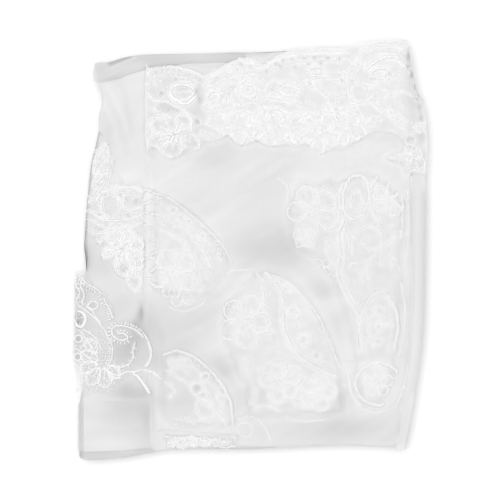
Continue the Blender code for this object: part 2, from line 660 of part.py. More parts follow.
def upper_panel():
    loops = [edge_loop(rows) for rows in INNER_PIECES.values()]
    outline = edge_loop(UPPER_PANEL_EDGE)
    lines = []
    for loop in loops:
        for distance in (NEAR_LACE, FAR_FROM_LACE):
            moved = offset_line(loop, True, -distance)
            lines += clear_stretches(moved, True, outline)
    return wall("tulle_upper_panel", TULLE, UPPER_PANEL_EDGE,
                lambda point: FIRST_UNDER + press_lift(point, loops),
                lambda point: UPPER_TOP + press_lift(point, loops),
                cords=motif_cords(PRESSED_MOTIFS, PRESSED_RISE), lines=lines)


def build():
    start_empty_scene()
    folded_core()
    wall("tulle_lower_panel", TULLE, LOWER_PANEL_EDGE, flat(LOWER_UNDER), flat(LOWER_TOP),
         cords=fold_cords(LOWER_PANEL_FOLDS))
    wall("tulle_top_fold", FOLDED, TOP_FOLD_EDGE, flat(FIRST_UNDER),
         flat(FIRST_UNDER + STRIP_SHEET), cords=fold_cords(TOP_FOLDS))
    wall("tulle_right_fold", FOLDED, RIGHT_FOLD_EDGE, flat(FIRST_UNDER),
         flat(FIRST_UNDER + STRIP_SHEET), cords=fold_cords(RIGHT_FOLDS))
    wall("tulle_corner_panel", TULLE, CORNER_PANEL_EDGE, flat(FIRST_UNDER),
         flat(FIRST_UNDER + SHEET), cords=fold_cords(CORNER_FOLDS))
    lace_top = FIRST_UNDER + SHEET
    wall("lace_left_middle", LACE, LEFT_MIDDLE_EDGE, flat(FIRST_UNDER), flat(lace_top),
         cords=motif_cords(LEFT_MIDDLE_MOTIFS))
    wall("lace_left_corner", LACE, LEFT_CORNER_EDGE, droop(FIRST_UNDER), droop(lace_top),
         cords=motif_cords(LEFT_CORNER_MOTIFS), lines=bend_line())
    wall("lace_bottom_edge", LACE, BOTTOM_EDGE, flat(FIRST_UNDER), flat(lace_top),
         cords=motif_cords(BOTTOM_EDGE_MOTIFS))
    for name, rows in INNER_PIECES.items():
        wall(name, LACE, rows, flat(FIRST_UNDER), flat(FIRST_UNDER + INNER_LACE),
             rim_lift=0.0)
    upper_panel()
    wall("lace_top_flap", LACE, FLAP_EDGE, flat(FLAP_UNDER), flat(FLAP_UNDER + SHEET),
         cords=motif_cords(FLAP_MOTIFS))


build()
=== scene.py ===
import math
import random

import bmesh
import bpy
import numpy as np
from mathutils import Matrix, Vector, noise


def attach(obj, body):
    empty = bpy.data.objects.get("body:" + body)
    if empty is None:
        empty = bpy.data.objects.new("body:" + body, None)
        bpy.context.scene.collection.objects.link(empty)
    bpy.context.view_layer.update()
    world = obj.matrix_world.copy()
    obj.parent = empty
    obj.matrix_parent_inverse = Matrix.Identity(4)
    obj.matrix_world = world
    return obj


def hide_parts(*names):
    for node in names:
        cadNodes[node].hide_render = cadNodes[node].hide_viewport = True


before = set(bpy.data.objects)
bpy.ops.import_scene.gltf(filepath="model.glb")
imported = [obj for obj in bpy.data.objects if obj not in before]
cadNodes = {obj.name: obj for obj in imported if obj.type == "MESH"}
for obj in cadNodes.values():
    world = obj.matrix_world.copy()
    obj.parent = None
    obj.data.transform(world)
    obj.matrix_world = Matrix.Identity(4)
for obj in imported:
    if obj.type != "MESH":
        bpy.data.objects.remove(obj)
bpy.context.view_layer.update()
mm = 0.001
quarterTurn = math.pi / 2
stitchSeed, looseSeed, toneSeed = 12, 4, 9
random.seed(stitchSeed)


# lines in plan, all in millimetres until a mesh is made

def sidesOf(loop):
    return list(zip(loop, loop[1:] + loop[:1]))


def evenLine(knots, step, closed=False):
    # a smooth line through the knots as rows of x, y and heading, evenly spaced
    knots = [Vector(k) for k in knots]
    if closed:
        padded = [knots[-1]] + knots + [knots[0], knots[1]]
    else:
        padded = [knots[0] * 2 - knots[1]] + knots + [knots[-1] * 2 - knots[-2]]
    dense = []
    for before, a, b, after in zip(padded, padded[1:], padded[2:], padded[3:]):
        count = max(2, round((b - a).length / (step * 0.3)))
        for i in range(count):
            t = i / count
            dense.append(0.5 * (2 * a + (b - before) * t
                                + (2 * before - 5 * a + 4 * b - after) * t ** 2
                                + (3 * a - 3 * b + after - before) * t ** 3))
    dense.append(knots[0] if closed else knots[-1])
    xs = np.array([p.x for p in dense])
    ys = np.array([p.y for p in dense])
    gone = np.concatenate(([0.0], np.cumsum(np.hypot(np.diff(xs), np.diff(ys)))))
    wanted = np.linspace(0.0, gone[-1], max(2, round(gone[-1] / step)) + 1)
    if closed:
        wanted = wanted[:-1]
    x = np.interp(wanted, gone, xs)
    y = np.interp(wanted, gone, ys)
    if closed:
        heading = np.arctan2(np.roll(y, -1) - np.roll(y, 1), np.roll(x, -1) - np.roll(x, 1))
    else:
        heading = np.arctan2(np.gradient(y), np.gradient(x))
    return list(zip(x.tolist(), y.tolist(), heading.tolist()))


def beside(line, distance):
    # the line moved to its left
    return [(x - math.sin(h) * distance, y + math.cos(h) * distance) for x, y, h in line]


def loopArea(loop):
    return 0.5 * sum(a[0] * b[1] - b[0] * a[1] for a, b in sidesOf(loop))


def planEdge(node, step=2.0, inset=0.0):
    # the foot of a CAD wall seen from above, counter-clockwise, smoothed
    weld, steep, level = 2e-5, 0.3, 0.5     # metres, then the normals of a side and a foot
    bm = bmesh.new()
    bm.from_mesh(cadNodes[node].data)
    bmesh.ops.remove_doubles(bm, verts=bm.verts[:], dist=weld)
    bm.normal_update()
    nextTo = {}
    for edge in bm.edges:
        side, foot = sorted(edge.link_faces, key=lambda f: abs(f.normal.z))
        if abs(side.normal.z) < steep and foot.normal.z < -level:
            a, b = edge.verts
            nextTo.setdefault(a, []).append(b)
            nextTo.setdefault(b, []).append(a)
    ring = [next(iter(nextTo))]
    last = None
    while True:
        ahead = next(v for v in nextTo[ring[-1]] if v is not last)
        if ahead is ring[0]:
            break
        last = ring[-1]
        ring.append(ahead)
    knots = [(v.co.x / mm, v.co.y / mm) for v in ring]
    bm.free()
    if loopArea(knots) < 0:
        knots.reverse()
    return beside(evenLine(knots, step, closed=True), inset)


def lineDistance(x, y, knots, closed=False):
    # distance of each place to a line, and how far along the line it is
    best = np.full(x.shape, 1e9)
    along = np.zeros(x.shape)
    gone = 0.0
    for a, b in sidesOf(knots) if closed else zip(knots, knots[1:]):
        wayX, wayY = b[0] - a[0], b[1] - a[1]
        length = math.hypot(wayX, wayY)
        share = np.clip(((x - a[0]) * wayX + (y - a[1]) * wayY) / max(length ** 2, 1e-9), 0, 1)
        dist = np.hypot(a[0] + share * wayX - x, a[1] + share * wayY - y)
        along = np.where(dist < best, gone + share * length, along)
        best = np.minimum(best, dist)
        gone += length
    return best, along


def insideOf(x, y, loop):
    inside = np.zeros(x.shape, bool)
    for a, b in sidesOf(loop):
        if a[1] != b[1]:
            crosses = (a[1] > y) != (b[1] > y)
            inside ^= crosses & (x < a[0] + (y - a[1]) / (b[1] - a[1]) * (b[0] - a[0]))
    return inside


# relief and shade of the cloth, from short tables

def ripple(x, y, size, height, seed):
    return np.array([noise.noise(Vector((a / size, b / size, seed))) * height
                     for a, b in zip(x.tolist(), y.tolist())])


def creaseRelief(x, y, creases):
    # rows of knots, half width and height; a crease swells and thins along its way
    total = np.zeros(x.shape)
    for number, (knots, halfWidth, height) in enumerate(creases):
        dist, along = lineDistance(x, y, knots)
        uneven = 0.72 + 0.28 * np.sin(along / 17.0 + number * 2.1)
        total += height * uneven * np.exp(-(dist / halfWidth) ** 2)
    return total


def shadeOf(x, y, look):
    # the shade painted into a cloth's colour, partly its own tone and partly painted light and
    # shade; 1 is the plain colour; spots are soft, bands have firmer sides, clouds are drifts
    shade = np.ones(x.shape)
    for spotX, spotY, radiusX, radiusY, change in look.get("spots", ()):
        shade += change * np.exp(-(((x - spotX) / radiusX) ** 2 + ((y - spotY) / radiusY) ** 2))
    for knots, halfWidth, soft, change in look.get("bands", ()):
        dist, _ = lineDistance(x, y, knots)
        shade += change * np.clip((halfWidth + soft - dist) / soft, 0, 1)
    for size, stretch, turn, amount, seed in look.get("clouds", ()):
        lean = math.radians(turn)
        ahead = (x * math.cos(lean) + y * math.sin(lean)) / stretch
        aside = y * math.cos(lean) - x * math.sin(lean)
        shade += ripple(ahead, aside, size, amount, seed)
    return shade


# materials

plainLook = {"kind": "plain", "fibre": 900.0, "fibreDepth": 0.05, "bump": 0.25,
             "bumpDepth": 0.0002, "roughness": 0.62, "specular": 0.25, "sheen": 0.0}
threadLook = {**plainLook, "kind": "thread", "fibre": 2600.0, "fibreDepth": 0.1, "bump": 0.2,
              "roughness": 0.5, "specular": 0.35, "sheen": 0.15}
tulleLook = {**plainLook, "kind": "net", "pitch": 0.0017, "hole": 0.36, "holeDark": 0.05,
             "threadAlpha": 1.0, "covered": False}
laceLook = {**tulleLook, "pitch": 0.0016, "hole": 0.4, "threadAlpha": 0.6, "covered": True}


def grey(value):
    return (value, value, value)


def setInputs(tree, node, inputs):
    # each input takes a plain value or another node's output
    for name, value in inputs.items():
        if isinstance(value, bpy.types.NodeSocket):
            tree.links.new(value, node.inputs[name])
        else:
            node.inputs[name].default_value = value


def addNode(tree, kind, inputs, **settings):
    # the settings come first, because some of them change the inputs
    node = tree.nodes.new(kind)
    for name, value in settings.items():
        setattr(node, name, value)
    setInputs(tree, node, inputs)
    return node


def mathNode(tree, kind, first, second, clamp=False):
    return addNode(tree, "ShaderNodeMath", {0: first, 1: second}, operation=kind,
                   use_clamp=clamp).outputs[0]


def vectorNode(tree, kind, *values):
    node = addNode(tree, "ShaderNodeVectorMath", dict(enumerate(values)), operation=kind)
    return node.outputs["Value" if kind == "LENGTH" else "Vector"]


def attributeOf(tree, name):
    return addNode(tree, "ShaderNodeAttribute", {}, attribute_name=name).outputs["Fac"]


def newGroup(name, inputs, outputs):
    # every group takes a place and some numbers, and puts out numbers
    group = bpy.data.node_groups.new(name, "ShaderNodeTree")
    group.interface.new_socket(name="Place", in_out="INPUT", socket_type="NodeSocketVector")
    for label, value in inputs.items():
        socket = group.interface.new_socket(name=label, in_out="INPUT",
                                            socket_type="NodeSocketFloat")
        socket.default_value = value
    for label in outputs:
        group.interface.new_socket(name=label, in_out="OUTPUT", socket_type="NodeSocketFloat")
    given = group.nodes.new("NodeGroupInput").outputs
    return group, given, group.nodes.new("NodeGroupOutput")


def makeNetGroup():
    # round holes in hexagonal order, as in bobbin net: 0 in a hole, 1 on a thread
    group, given, result = newGroup("bobbinNet", {"Pitch": 0.0017, "Hole": 0.36, "Soft": 0.12},
                                    ["Weave"])
    rowRatio = 1.732
    rowPitch = mathNode(group, "MULTIPLY", given["Pitch"], rowRatio)
    size = addNode(group, "ShaderNodeCombineXYZ", {0: given["Pitch"], 1: rowPitch, 2: 1.0})
    cells = vectorNode(group, "DIVIDE", given["Place"], size.outputs[0])
    gaps = []
    for shift in ((0.0, 0.0, 0.0), (0.5, 0.5, 0.0)):
        cell = vectorNode(group, "FRACTION", vectorNode(group, "ADD", cells, shift))
        off = vectorNode(group, "SUBTRACT", cell, (0.5, 0.5, 0.5))
        gaps.append(vectorNode(group, "LENGTH",
                               vectorNode(group, "MULTIPLY", off, (1.0, rowRatio, 0.0))))
    past = mathNode(group, "SUBTRACT", mathNode(group, "MINIMUM", *gaps), given["Hole"])
    weave = mathNode(group, "DIVIDE", past, given["Soft"], clamp=True)
    setInputs(group, result, {"Weave": weave})
    return group


def makeFibreGroup():
    # fine uneven fibres: a brightness near 1 and a height for the bump
    group, given, result = newGroup("threadFibre", {"Size": 900.0, "Depth": 0.1},
                                    ["Tone", "Height"])
    fibres = addNode(group, "ShaderNodeTexNoise", {"Detail": 3.0, "Vector": given["Place"],
                                                   "Scale": given["Size"]}).outputs[0]
    drop = mathNode(group, "MULTIPLY", fibres, given["Depth"])
    setInputs(group, result, {"Tone": mathNode(group, "SUBTRACT", 1.0, drop), "Height": fibres})
    return group


netGroup = makeNetGroup()
fibreGroup = makeFibreGroup()


def clothMaterial(name, look):
    material = bpy.data.materials.new(name)
    material.use_nodes = True
    tree = material.node_tree
    place = tree.nodes.new("ShaderNodeTexCoord").outputs
    fibre = addNode(tree, "ShaderNodeGroup", {
        "Size": look["fibre"], "Depth": look["fibreDepth"], "Place": place["Object"]},
        node_tree=fibreGroup)
    tone, height = fibre.outputs["Tone"], fibre.outputs["Height"]
    shader = tree.nodes["Principled BSDF"]
    if look["kind"] == "thread":
        tone = mathNode(tree, "MULTIPLY", tone, attributeOf(tree, "shade"))
    if look["kind"] == "net":
        # painted shade: where the shade is lower, the net's holes darken more than its threads, as
        # the shaded depth shows through them; holeDark darkens every hole a little in the same way
        holeLoss, threadLoss = 1.5, 0.3
        loss = mathNode(tree, "SUBTRACT", 1.0, attributeOf(tree, "shade"))
        gap = mathNode(tree, "MULTIPLY", loss, holeLoss)
        gap = mathNode(tree, "ADD", gap, look["holeDark"])
        tone = mathNode(tree, "SUBTRACT", tone, mathNode(tree, "MULTIPLY", loss, threadLoss))
        grain = addNode(tree, "ShaderNodeMapping", {
            "Vector": place["UV"], "Rotation": (0, 0, math.radians(look["grain"]))})
        net = addNode(tree, "ShaderNodeGroup", {
            "Pitch": look["pitch"], "Hole": look["hole"], "Place": grain.outputs[0]},
            node_tree=netGroup)
        height = net.outputs["Weave"]
        alpha = addNode(tree, "ShaderNodeMapRange", {
            "Value": height, "To Min": look["holeAlpha"], "To Max": look["threadAlpha"]})
        cover = alpha.outputs[0]
        if look["covered"]:
            cover = mathNode(tree, "MULTIPLY", cover, attributeOf(tree, "cover"), clamp=True)
        setInputs(tree, shader, {"Alpha": cover})
        darker = mathNode(tree, "MULTIPLY", mathNode(tree, "SUBTRACT", 1.0, height), gap)
        tone = mathNode(tree, "SUBTRACT", tone, darker)
    colour = addNode(tree, "ShaderNodeMix", {
        "Factor": tone, "A": (0, 0, 0, 1), "B": (*look["colour"], 1)}, data_type="RGBA")
    bump = addNode(tree, "ShaderNodeBump", {
        "Strength": look["bump"], "Distance": look["bumpDepth"], "Height": height})
    setInputs(tree, shader, {
        "Base Color": colour.outputs["Result"], "Normal": bump.outputs[0],
        "Roughness": look["roughness"], "Specular IOR Level": look["specular"],
        "Sheen Weight": look["sheen"]})
    return material


# pieces and cloth sheets

def addObject(name, data):
    item = bpy.data.objects.new(name, data)
    bpy.context.scene.collection.objects.link(item)
    return item


def toMesh(name, bm):
    mesh = bpy.data.meshes.new(name)
    bm.to_mesh(mesh)
    bm.free()
    return mesh


def addPiece(name, bm, material):
    mesh = toMesh(name, bm)
    mesh.materials.append(material)
    mesh.shade_smooth()
    return addObject(name, mesh)


def placeIn(piece, node=None):
    # every piece rides the one body; a piece with a node replaces that solid
    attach(piece, "root")
    if node:
        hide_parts(node)


def cutToGrid(bm, cell):
    # cuts a flat outline into square cells, so that it can take folds
    for axis, normal in enumerate(((1, 0, 0), (0, 1, 0))):
        places = [v.co[axis] for v in bm.verts]
        place = min(places) + cell * 0.6
        while place < max(places) - cell * 0.3:
            bmesh.ops.bisect_plane(bm, geom=bm.verts[:] + bm.edges[:] + bm.faces[:],
                                   dist=1e-4, plane_co=[c * place for c in normal],
                                   plane_no=normal)
            place += cell


def rollEdge(bm, radius, degrees=150, steps=4):
    # the edge turns down and back under, as a folded edge does
    edges = [e for e in bm.edges if e.is_boundary]
    outward = {}
    for edge in edges:
        way = edge.verts[1].co - edge.verts[0].co
        side = Vector((way.y, -way.x, 0)).normalized()
        if side.dot(edge.link_faces[0].calc_center_median() - edge.verts[0].co) > 0:
            side.negate()
        for vert in edge.verts:
            outward[vert] = outward.get(vert, Vector((0, 0, 0))) + side
    gone = Vector((0.0, 0.0))
    for k in range(1, steps + 1):
        angle = math.radians(degrees) * k / steps
        reached = Vector((radius * math.sin(angle), -radius * (1 - math.cos(angle))))
        move = reached - gone
        gone = reached
        made = bmesh.ops.extrude_edge_only(bm, edges=edges)["geom"]
        fresh = {g for g in made if isinstance(g, bmesh.types.BMVert)}
        moved = {}
        for vert in fresh:
            old = next(e.other_vert(vert) for e in vert.link_edges
                       if e.other_vert(vert) in outward)
            vert.co += outward[old].normalized() * move.x + Vector((0, 0, move.y))
            moved[vert] = outward[old]
        outward = moved
        edges = [g for g in made if isinstance(g, bmesh.types.BMEdge)
                 and g.verts[0] in fresh and g.verts[1] in fresh]


def meshPlan(mesh):
    places = np.zeros(len(mesh.vertices) * 3)
    mesh.vertices.foreach_get("co", places)
    places = places.reshape(-1, 3) / mm
    return places[:, 0].copy(), places[:, 1].copy()


def planUv(mesh, x, y, wander=1.2):
    # the cloth's own plan as UV, a little pulled about, as handled net is
    x, y = x + ripple(x, y, 38.0, wander, 3.1), y + ripple(x, y, 31.0, wander, 8.7)
    layer = mesh.uv_layers.new(name="plan")
    corners = np.zeros(len(mesh.loops), dtype=np.int32)
    mesh.loops.foreach_get("vertex_index", corners)
    uv = np.stack((x[corners], y[corners]), axis=1) * mm
    layer.data.foreach_set("uv", uv.astype(np.float32).ravel())


def setValues(mesh, name, values, kind="FLOAT", field="value"):
    layer = mesh.attributes.new(name, kind, "POINT")
    layer.data.foreach_set(field, np.asarray(values, dtype=np.float32).ravel())


def softened(values, axis=0):
    # each value mixed with its two neighbours
    return (np.roll(values, 1, axis) + 2 * values + np.roll(values, -1, axis)) / 4


def stitchDensity(rows, x, y, cell=1.5, fullness=0.26):
    # how much of the ground the stitches cover round each place, from 0 to 1
    low = rows[:, :2].min(axis=0) - 6 * cell
    size = ((rows[:, :2].max(axis=0) - low) / cell).astype(int) + 8
    grid = np.zeros(size)
    for share in (-0.3, 0.0, 0.3):
        column = ((rows[:, 0] + np.cos(rows[:, 3]) * rows[:, 5] * share - low[0]) / cell)
        row = ((rows[:, 1] + np.sin(rows[:, 3]) * rows[:, 5] * share - low[1]) / cell)
        np.add.at(grid, (column.astype(int), row.astype(int)),
                  rows[:, 5] * rows[:, 6] * fullness / cell ** 2)
    grid = softened(softened(grid), axis=1)
    column = np.clip((x - low[0]) / cell - 0.5, 0, size[0] - 2)
    row = np.clip((y - low[1]) / cell - 0.5, 0, size[1] - 2)
    i, j = column.astype(int), row.astype(int)
    u, v = column - i, row - j
    density = (grid[i, j] * (1 - u) * (1 - v) + grid[i + 1, j] * u * (1 - v)
               + grid[i, j + 1] * (1 - u) * v + grid[i + 1, j + 1] * u * v)
    return np.clip(density, 0.0, 1.0)


def clothLevel(cloth, heightOf, x, y):
    # the height of a cloth with its creases and ripples
    z = heightOf(x, y) + creaseRelief(x, y, cloth.get("creases", ()))
    if "rippleHeight" in cloth:
        z = z + ripple(x, y, cloth["rippleSize"], cloth["rippleHeight"], cloth["seed"])
    return z


def clothSheet(name, edge, cloth, heightOf, material, stitches=None):
    # one layer of cloth inside an edge, at the height that heightOf gives, in millimetres
    bm = bmesh.new()
    bm.faces.new([bm.verts.new((x, y, 0.0)) for x, y in edge])
    cutToGrid(bm, cloth["cell"])
    x = np.array([v.co.x for v in bm.verts])
    y = np.array([v.co.y for v in bm.verts])
    for vert, level in zip(bm.verts, clothLevel(cloth, heightOf, x, y).tolist()):
        vert.co.z = level
    bmesh.ops.recalc_face_normals(bm, faces=bm.faces[:])
    if sum(f.normal.z for f in bm.faces) < 0:
        bmesh.ops.reverse_faces(bm, faces=bm.faces[:])
    if "roll" in cloth:
        rollEdge(bm, cloth["roll"])
    bmesh.ops.scale(bm, vec=(mm, mm, mm), verts=bm.verts[:])
    piece = addPiece(name, bm, material)
    x, y = meshPlan(piece.data)
    dense = 0.0 if stitches is None else stitchDensity(stitches, x, y)
    setValues(piece.data, "shade", shadeOf(x, y, cloth) + cloth.get("denseShade", 0.0) * dense)
    if "cover" in cloth:
        cover = shadeOf(x, y, cloth["cover"]) + cloth.get("denseCover", 0.0) * dense
        if "fade" in cloth:
            line = cloth.get("fadeLine", edge)
            dist, _ = lineDistance(x, y, line, closed=line is edge)
            cover = cover * np.clip(dist / cloth["fade"], 0.0, 1.0)
        setValues(piece.data, "cover", cover)
    planUv(piece.data, x, y)
    return piece


def flatHeight(cloth):
    return lambda x, y: np.full(x.shape, cloth["level"])


def sinkOf(cloth, dist):
    # how far a cloth falls away towards a line at this distance
    return cloth["sink"] * (1.0 - np.clip(dist / cloth["sinkWidth"], 0.0, 1.0)) ** 2


def sunkHeight(cloth):
    # level, and falling away towards its line
    return lambda x, y: cloth["level"] - sinkOf(cloth, lineDistance(x, y, cloth["sinkLine"])[0])


def edgeOf(cloth):
    return planEdge(cloth["node"], cloth["step"], cloth["inset"])


# floor, light and camera

studio = {
    "floor": 0.92, "world": 0.3,
    "suns": [("keyLight", 18, -138, 1.32, 70),      # tilt, turn, strength and softness
             ("topLight", 3, 0, 1.62, 130)],
    "fieldWidth": 0.425, "cameraHeight": 1.5, "clothTop": 0.013, "sensor": 36.0,
}


def makeStage():
    bm = bmesh.new()
    bmesh.ops.create_grid(bm, x_segments=1, y_segments=1, size=3.0)
    look = bpy.data.materials.new("paleFloor")
    look.use_nodes = True
    setInputs(look.node_tree, look.node_tree.nodes["Principled BSDF"], {
        "Base Color": (*grey(studio["floor"]), 1), "Roughness": 0.9, "Specular IOR Level": 0.0})
    addPiece("floor", bm, look)


def makeLight():
    for name, tilt, turn, strength, softness in studio["suns"]:
        lamp = bpy.data.lights.new(name, "SUN")
        lamp.energy = strength
        lamp.angle = math.radians(softness)
        addObject(name, lamp).rotation_euler = (math.radians(tilt), 0, math.radians(turn))
    world = bpy.data.worlds.new("studio")
    world.use_nodes = True
    setInputs(world.node_tree, world.node_tree.nodes["Background"], {
        "Color": (1, 1, 1, 1), "Strength": studio["world"]})
    scene = bpy.context.scene
    scene.world = world
    scene.view_settings.view_transform = "Standard"
    scene.view_settings.look = "None"


def makeCamera():
    camera = bpy.data.cameras.new("overhead")
    camera.sensor_width = studio["sensor"]
    far = studio["cameraHeight"] - studio["clothTop"]
    camera.lens = studio["sensor"] * far / studio["fieldWidth"]
    camera.clip_start = 0.05
    item = addObject("overhead", camera)
    item.location = (0, 0, studio["cameraHeight"])
    bpy.context.scene.camera = item


makeStage()
makeLight()
makeCamera()
print("stage, light and camera")


# the hidden layers: one solid, folded edges all round

packet = {
    # the white net of the hidden layers is coloured grey: painted shade of the stack's deep folds
    # and dark rims
    "look": {**plainLook, "colour": (0.62, 0.62, 0.63), "fibre": 1400.0, "fibreDepth": 0.12,
             "bump": 0.3},
    "folds": 8, "height": 9.6, "inset": 0.9, "bulge": 0.8, "foot": 0.7, "top": 1.6,
    "wander": 1.3, "waves": 5, "step": 2.6, "rounds": 5, "crease": 60,
    "profile": [(0.04, 1.0), (0.22, 0.25), (0.5, 0.0), (0.8, 0.3), (0.97, 1.0)],
}


def foldedPacket():
    edge = planEdge("tulle_lower_panel", packet["step"])
    line = evenLine(edge, packet["step"], closed=True)
    fold = packet["height"] / packet["folds"]
    rows = [(k, k * fold + up * fold, back * packet["bulge"])
            for k in range(packet["folds"]) for up, back in packet["profile"]]
    rows[0] = (0, 0.0, packet["bulge"] * packet["foot"])
    rows[-1] = (packet["folds"] - 1, packet["height"], packet["bulge"] * packet["top"])
    bm = bmesh.new()
    rings = []
    for k, z, back in rows:
        made = bmesh.ops.create_circle(bm, segments=len(line), radius=1.0)["verts"]
        places = []
        for i, (x, y, heading) in enumerate(line):
            turn = math.tau * i / len(line)
            wave = noise.noise(Vector((math.cos(turn) * packet["waves"],
                                       math.sin(turn) * packet["waves"], k * 3.7)))
            inward = packet["inset"] + back + packet["wander"] * (0.6 + wave)
            places += beside([(x, y, heading)], inward)
        places = np.array(places)
        for _ in range(packet["rounds"]):
            places = softened(places)
        for vert, (x, y) in zip(made, places.tolist()):
            vert.co = (x, y, z)
        ringVerts = set(made)
        rings.append([e for e in bm.edges if e.verts[0] in ringVerts and e.verts[1] in ringVerts])
    for lower, upper in zip(rings, rings[1:]):
        bmesh.ops.bridge_loops(bm, edges=lower + upper)
    for ring in (rings[0], rings[-1]):
        bmesh.ops.contextual_create(bm, geom=ring)
    bmesh.ops.recalc_face_normals(bm, faces=bm.faces[:])
    bmesh.ops.scale(bm, vec=(mm, mm, mm), verts=bm.verts[:])
    piece = addPiece("foldedPacket", bm, clothMaterial("packetTulle", packet["look"]))
    piece.data.set_sharp_from_angle(angle=math.radians(packet["crease"]))
    placeIn(piece, "folded_core")


foldedPacket()
print("folded packet")


# embroidery: every stitch is a small grain, set along the lines of the pattern

def makeGrain():
    # the one stitch that all the embroidery repeats, lying along x
    bm = bmesh.new()
    bmesh.ops.create_uvsphere(bm, u_segments=5, v_segments=3, radius=0.5)
    bmesh.ops.rotate(bm, matrix=Matrix.Rotation(quarterTurn, 3, "Y"), verts=bm.verts[:])
    return bpy.data.objects.new("grain", toMesh("grain", bm))


def makeStitcher(grain):
    # geometry nodes that set the grain on each point with its turn and size
    tree = bpy.data.node_groups.new("stitcher", "GeometryNodeTree")
    for side in ("INPUT", "OUTPUT"):
        tree.interface.new_socket(name="Geometry", in_out=side,
                                  socket_type="NodeSocketGeometry")
    given = tree.nodes.new("NodeGroupInput")
    stored = [addNode(tree, "GeometryNodeInputNamedAttribute", {"Name": name},
                      data_type="FLOAT_VECTOR") for name in ("turn", "size")]
    source = addNode(tree, "GeometryNodeObjectInfo", {"Object": grain})
    placed = addNode(tree, "GeometryNodeInstanceOnPoints", {
        "Points": given.outputs[0], "Instance": source.outputs["Geometry"],
        "Rotation": stored[0].outputs["Attribute"], "Scale": stored[1].outputs["Attribute"]})
    real = addNode(tree, "GeometryNodeRealizeInstances", {0: placed.outputs[0]})
    addNode(tree, "NodeGroupOutput", {0: real.outputs[0]})
    return tree


stitcher = makeStitcher(makeGrain())
threadMaterial = clothMaterial("laceThread", {**threadLook, "colour": grey(0.935)})
softThread = clothMaterial("softThread", {**threadLook, "colour": grey(0.9)})


def sewPiece(name, rows, heightOf, material, tones=None):
    # stitches are rows of x, y, lift, turn, rise, length and width
    x, y, lift, turn, rise, length, width = rows.T
    z = heightOf(x, y) + lift
    bm = bmesh.new()
    for place in zip(x.tolist(), y.tolist(), z.tolist()):
        bm.verts.new(Vector(place) * mm)
    mesh = toMesh(name + "Points", bm)
    thick = width * np.clip(0.1 + lift * 1.1, 0.16, 0.45)
    turns = np.stack((np.zeros(len(rows)), -rise, turn), axis=1)
    sizes = np.stack((length, width, thick), axis=1) * mm
    setValues(mesh, "turn", turns, "FLOAT_VECTOR", "vector")
    setValues(mesh, "size", sizes, "FLOAT_VECTOR", "vector")
    points = addObject(name + "Points", mesh)
    points.modifiers.new("stitches", "NODES").node_group = stitcher
    bpy.context.view_layer.update()
    solved = points.evaluated_get(bpy.context.evaluated_depsgraph_get())
    sewn = bpy.data.meshes.new_from_object(solved)
    bpy.data.objects.remove(points)
    sewn.name = name
    sewn.materials.clear()
    sewn.materials.append(material)
    sewn.shade_smooth()
    spread = np.random.default_rng(toneSeed).normal(0.0, 0.025, len(rows))
    tone = shadeOf(x, y, tones or {}) - np.abs(spread)
    setValues(sewn, "shade", np.repeat(tone, len(sewn.vertices) // len(rows)))
    return addObject(name, sewn)


def jitter(amount):
    return random.uniform(-amount, amount)


def uneven(value, share):
    return value * (1 + jitter(share))


def turned(x, y, turn, ahead, aside):
    lean = math.radians(turn)
    return (x + ahead * math.cos(lean) - aside * math.sin(lean),
            y + ahead * math.sin(lean) + aside * math.cos(lean))


def ovalKnots(x, y, radiusX, radiusY, turn=0.0, count=8):
    return [turned(x, y, turn, radiusX * math.cos(math.tau * i / count),
                   radiusY * math.sin(math.tau * i / count)) for i in range(count)]


def addStitch(out, x, y, turn, length, width, lift=0.3, rise=0.0, far=0.0):
    # far is how far its middle lies ahead of x, y
    out.append((x + math.cos(turn) * far, y + math.sin(turn) * far, lift + jitter(0.06), turn,
                rise, length, width))


def runAlong(out, knots, width=1.5, closed=False, pitch=1.05, lift=0.2):
    # a plied cord: short slanting stitches end to end
    slant, overlap = 0.35, 1.9
    for x, y, heading in evenLine(knots, pitch, closed):
        addStitch(out, x + jitter(0.06), y + jitter(0.06), heading + slant + jitter(0.08),
                  pitch * overlap, uneven(width, 0.12), lift)


def teethAlong(out, knots, side, reach, pitch=2.1, width=1.15, closed=False, lift=0.2, start=0.0):
    # buttonhole teeth that stand out to one side of a line
    for x, y, heading in evenLine(knots, pitch, closed):
        long = reach * (0.8 + random.random() * 0.4)
        turn = heading + side * quarterTurn + jitter(0.12)
        addStitch(out, x, y, turn, long, uneven(width, 0.15), lift, -0.08, start + long / 2)


def satinAlong(out, knots, width, pitch=0.9, closed=False):
    # a raised satin band: stitches side by side across a line, over a filling cord
    lift, slant, thread = 0.22, 0.25, 1.1
    if width > 1.7:
        runAlong(out, knots, width * 0.8, closed, 1.6, lift - 0.05)
    line = evenLine(knots, pitch, closed)
    for i, (x, y, heading) in enumerate(line):
        share = 1.0 if closed else min(1.0, 0.45 + 3.0 * min(i, len(line) - 1 - i) / len(line))
        addStitch(out, x, y, heading + quarterTurn - slant + jitter(0.1),
                  uneven(width * share, 0.12), thread, lift)


def eyelet(out, x, y, radiusX, radiusY=None, turn=0.0, thick=None):
    # a ring of satin stitches round a hole
    satinAlong(out, ovalKnots(x, y, radiusX, radiusY or radiusX, turn),
               thick or min(1.6, radiusX * 0.6), closed=True)


def oval(out, x, y, radiusX, radiusY, turn=0.0, reach=1.8, width=1.6):
    # a corded loop with teeth on its outer side
    knots = ovalKnots(x, y, radiusX, radiusY, turn, 10)
    runAlong(out, knots, width, closed=True)
    if reach:
        teethAlong(out, knots, -1, reach, closed=True, start=0.4)


def bead(out, x, y, size, lift=0.4):
    addStitch(out, x, y, random.random() * 3.1, size, size * 0.9, lift)


def beadsAlong(out, knots, pitch, size=1.1, closed=False):
    for x, y, _ in evenLine(knots, pitch, closed):
        bead(out, x, y, uneven(size, 0.15))


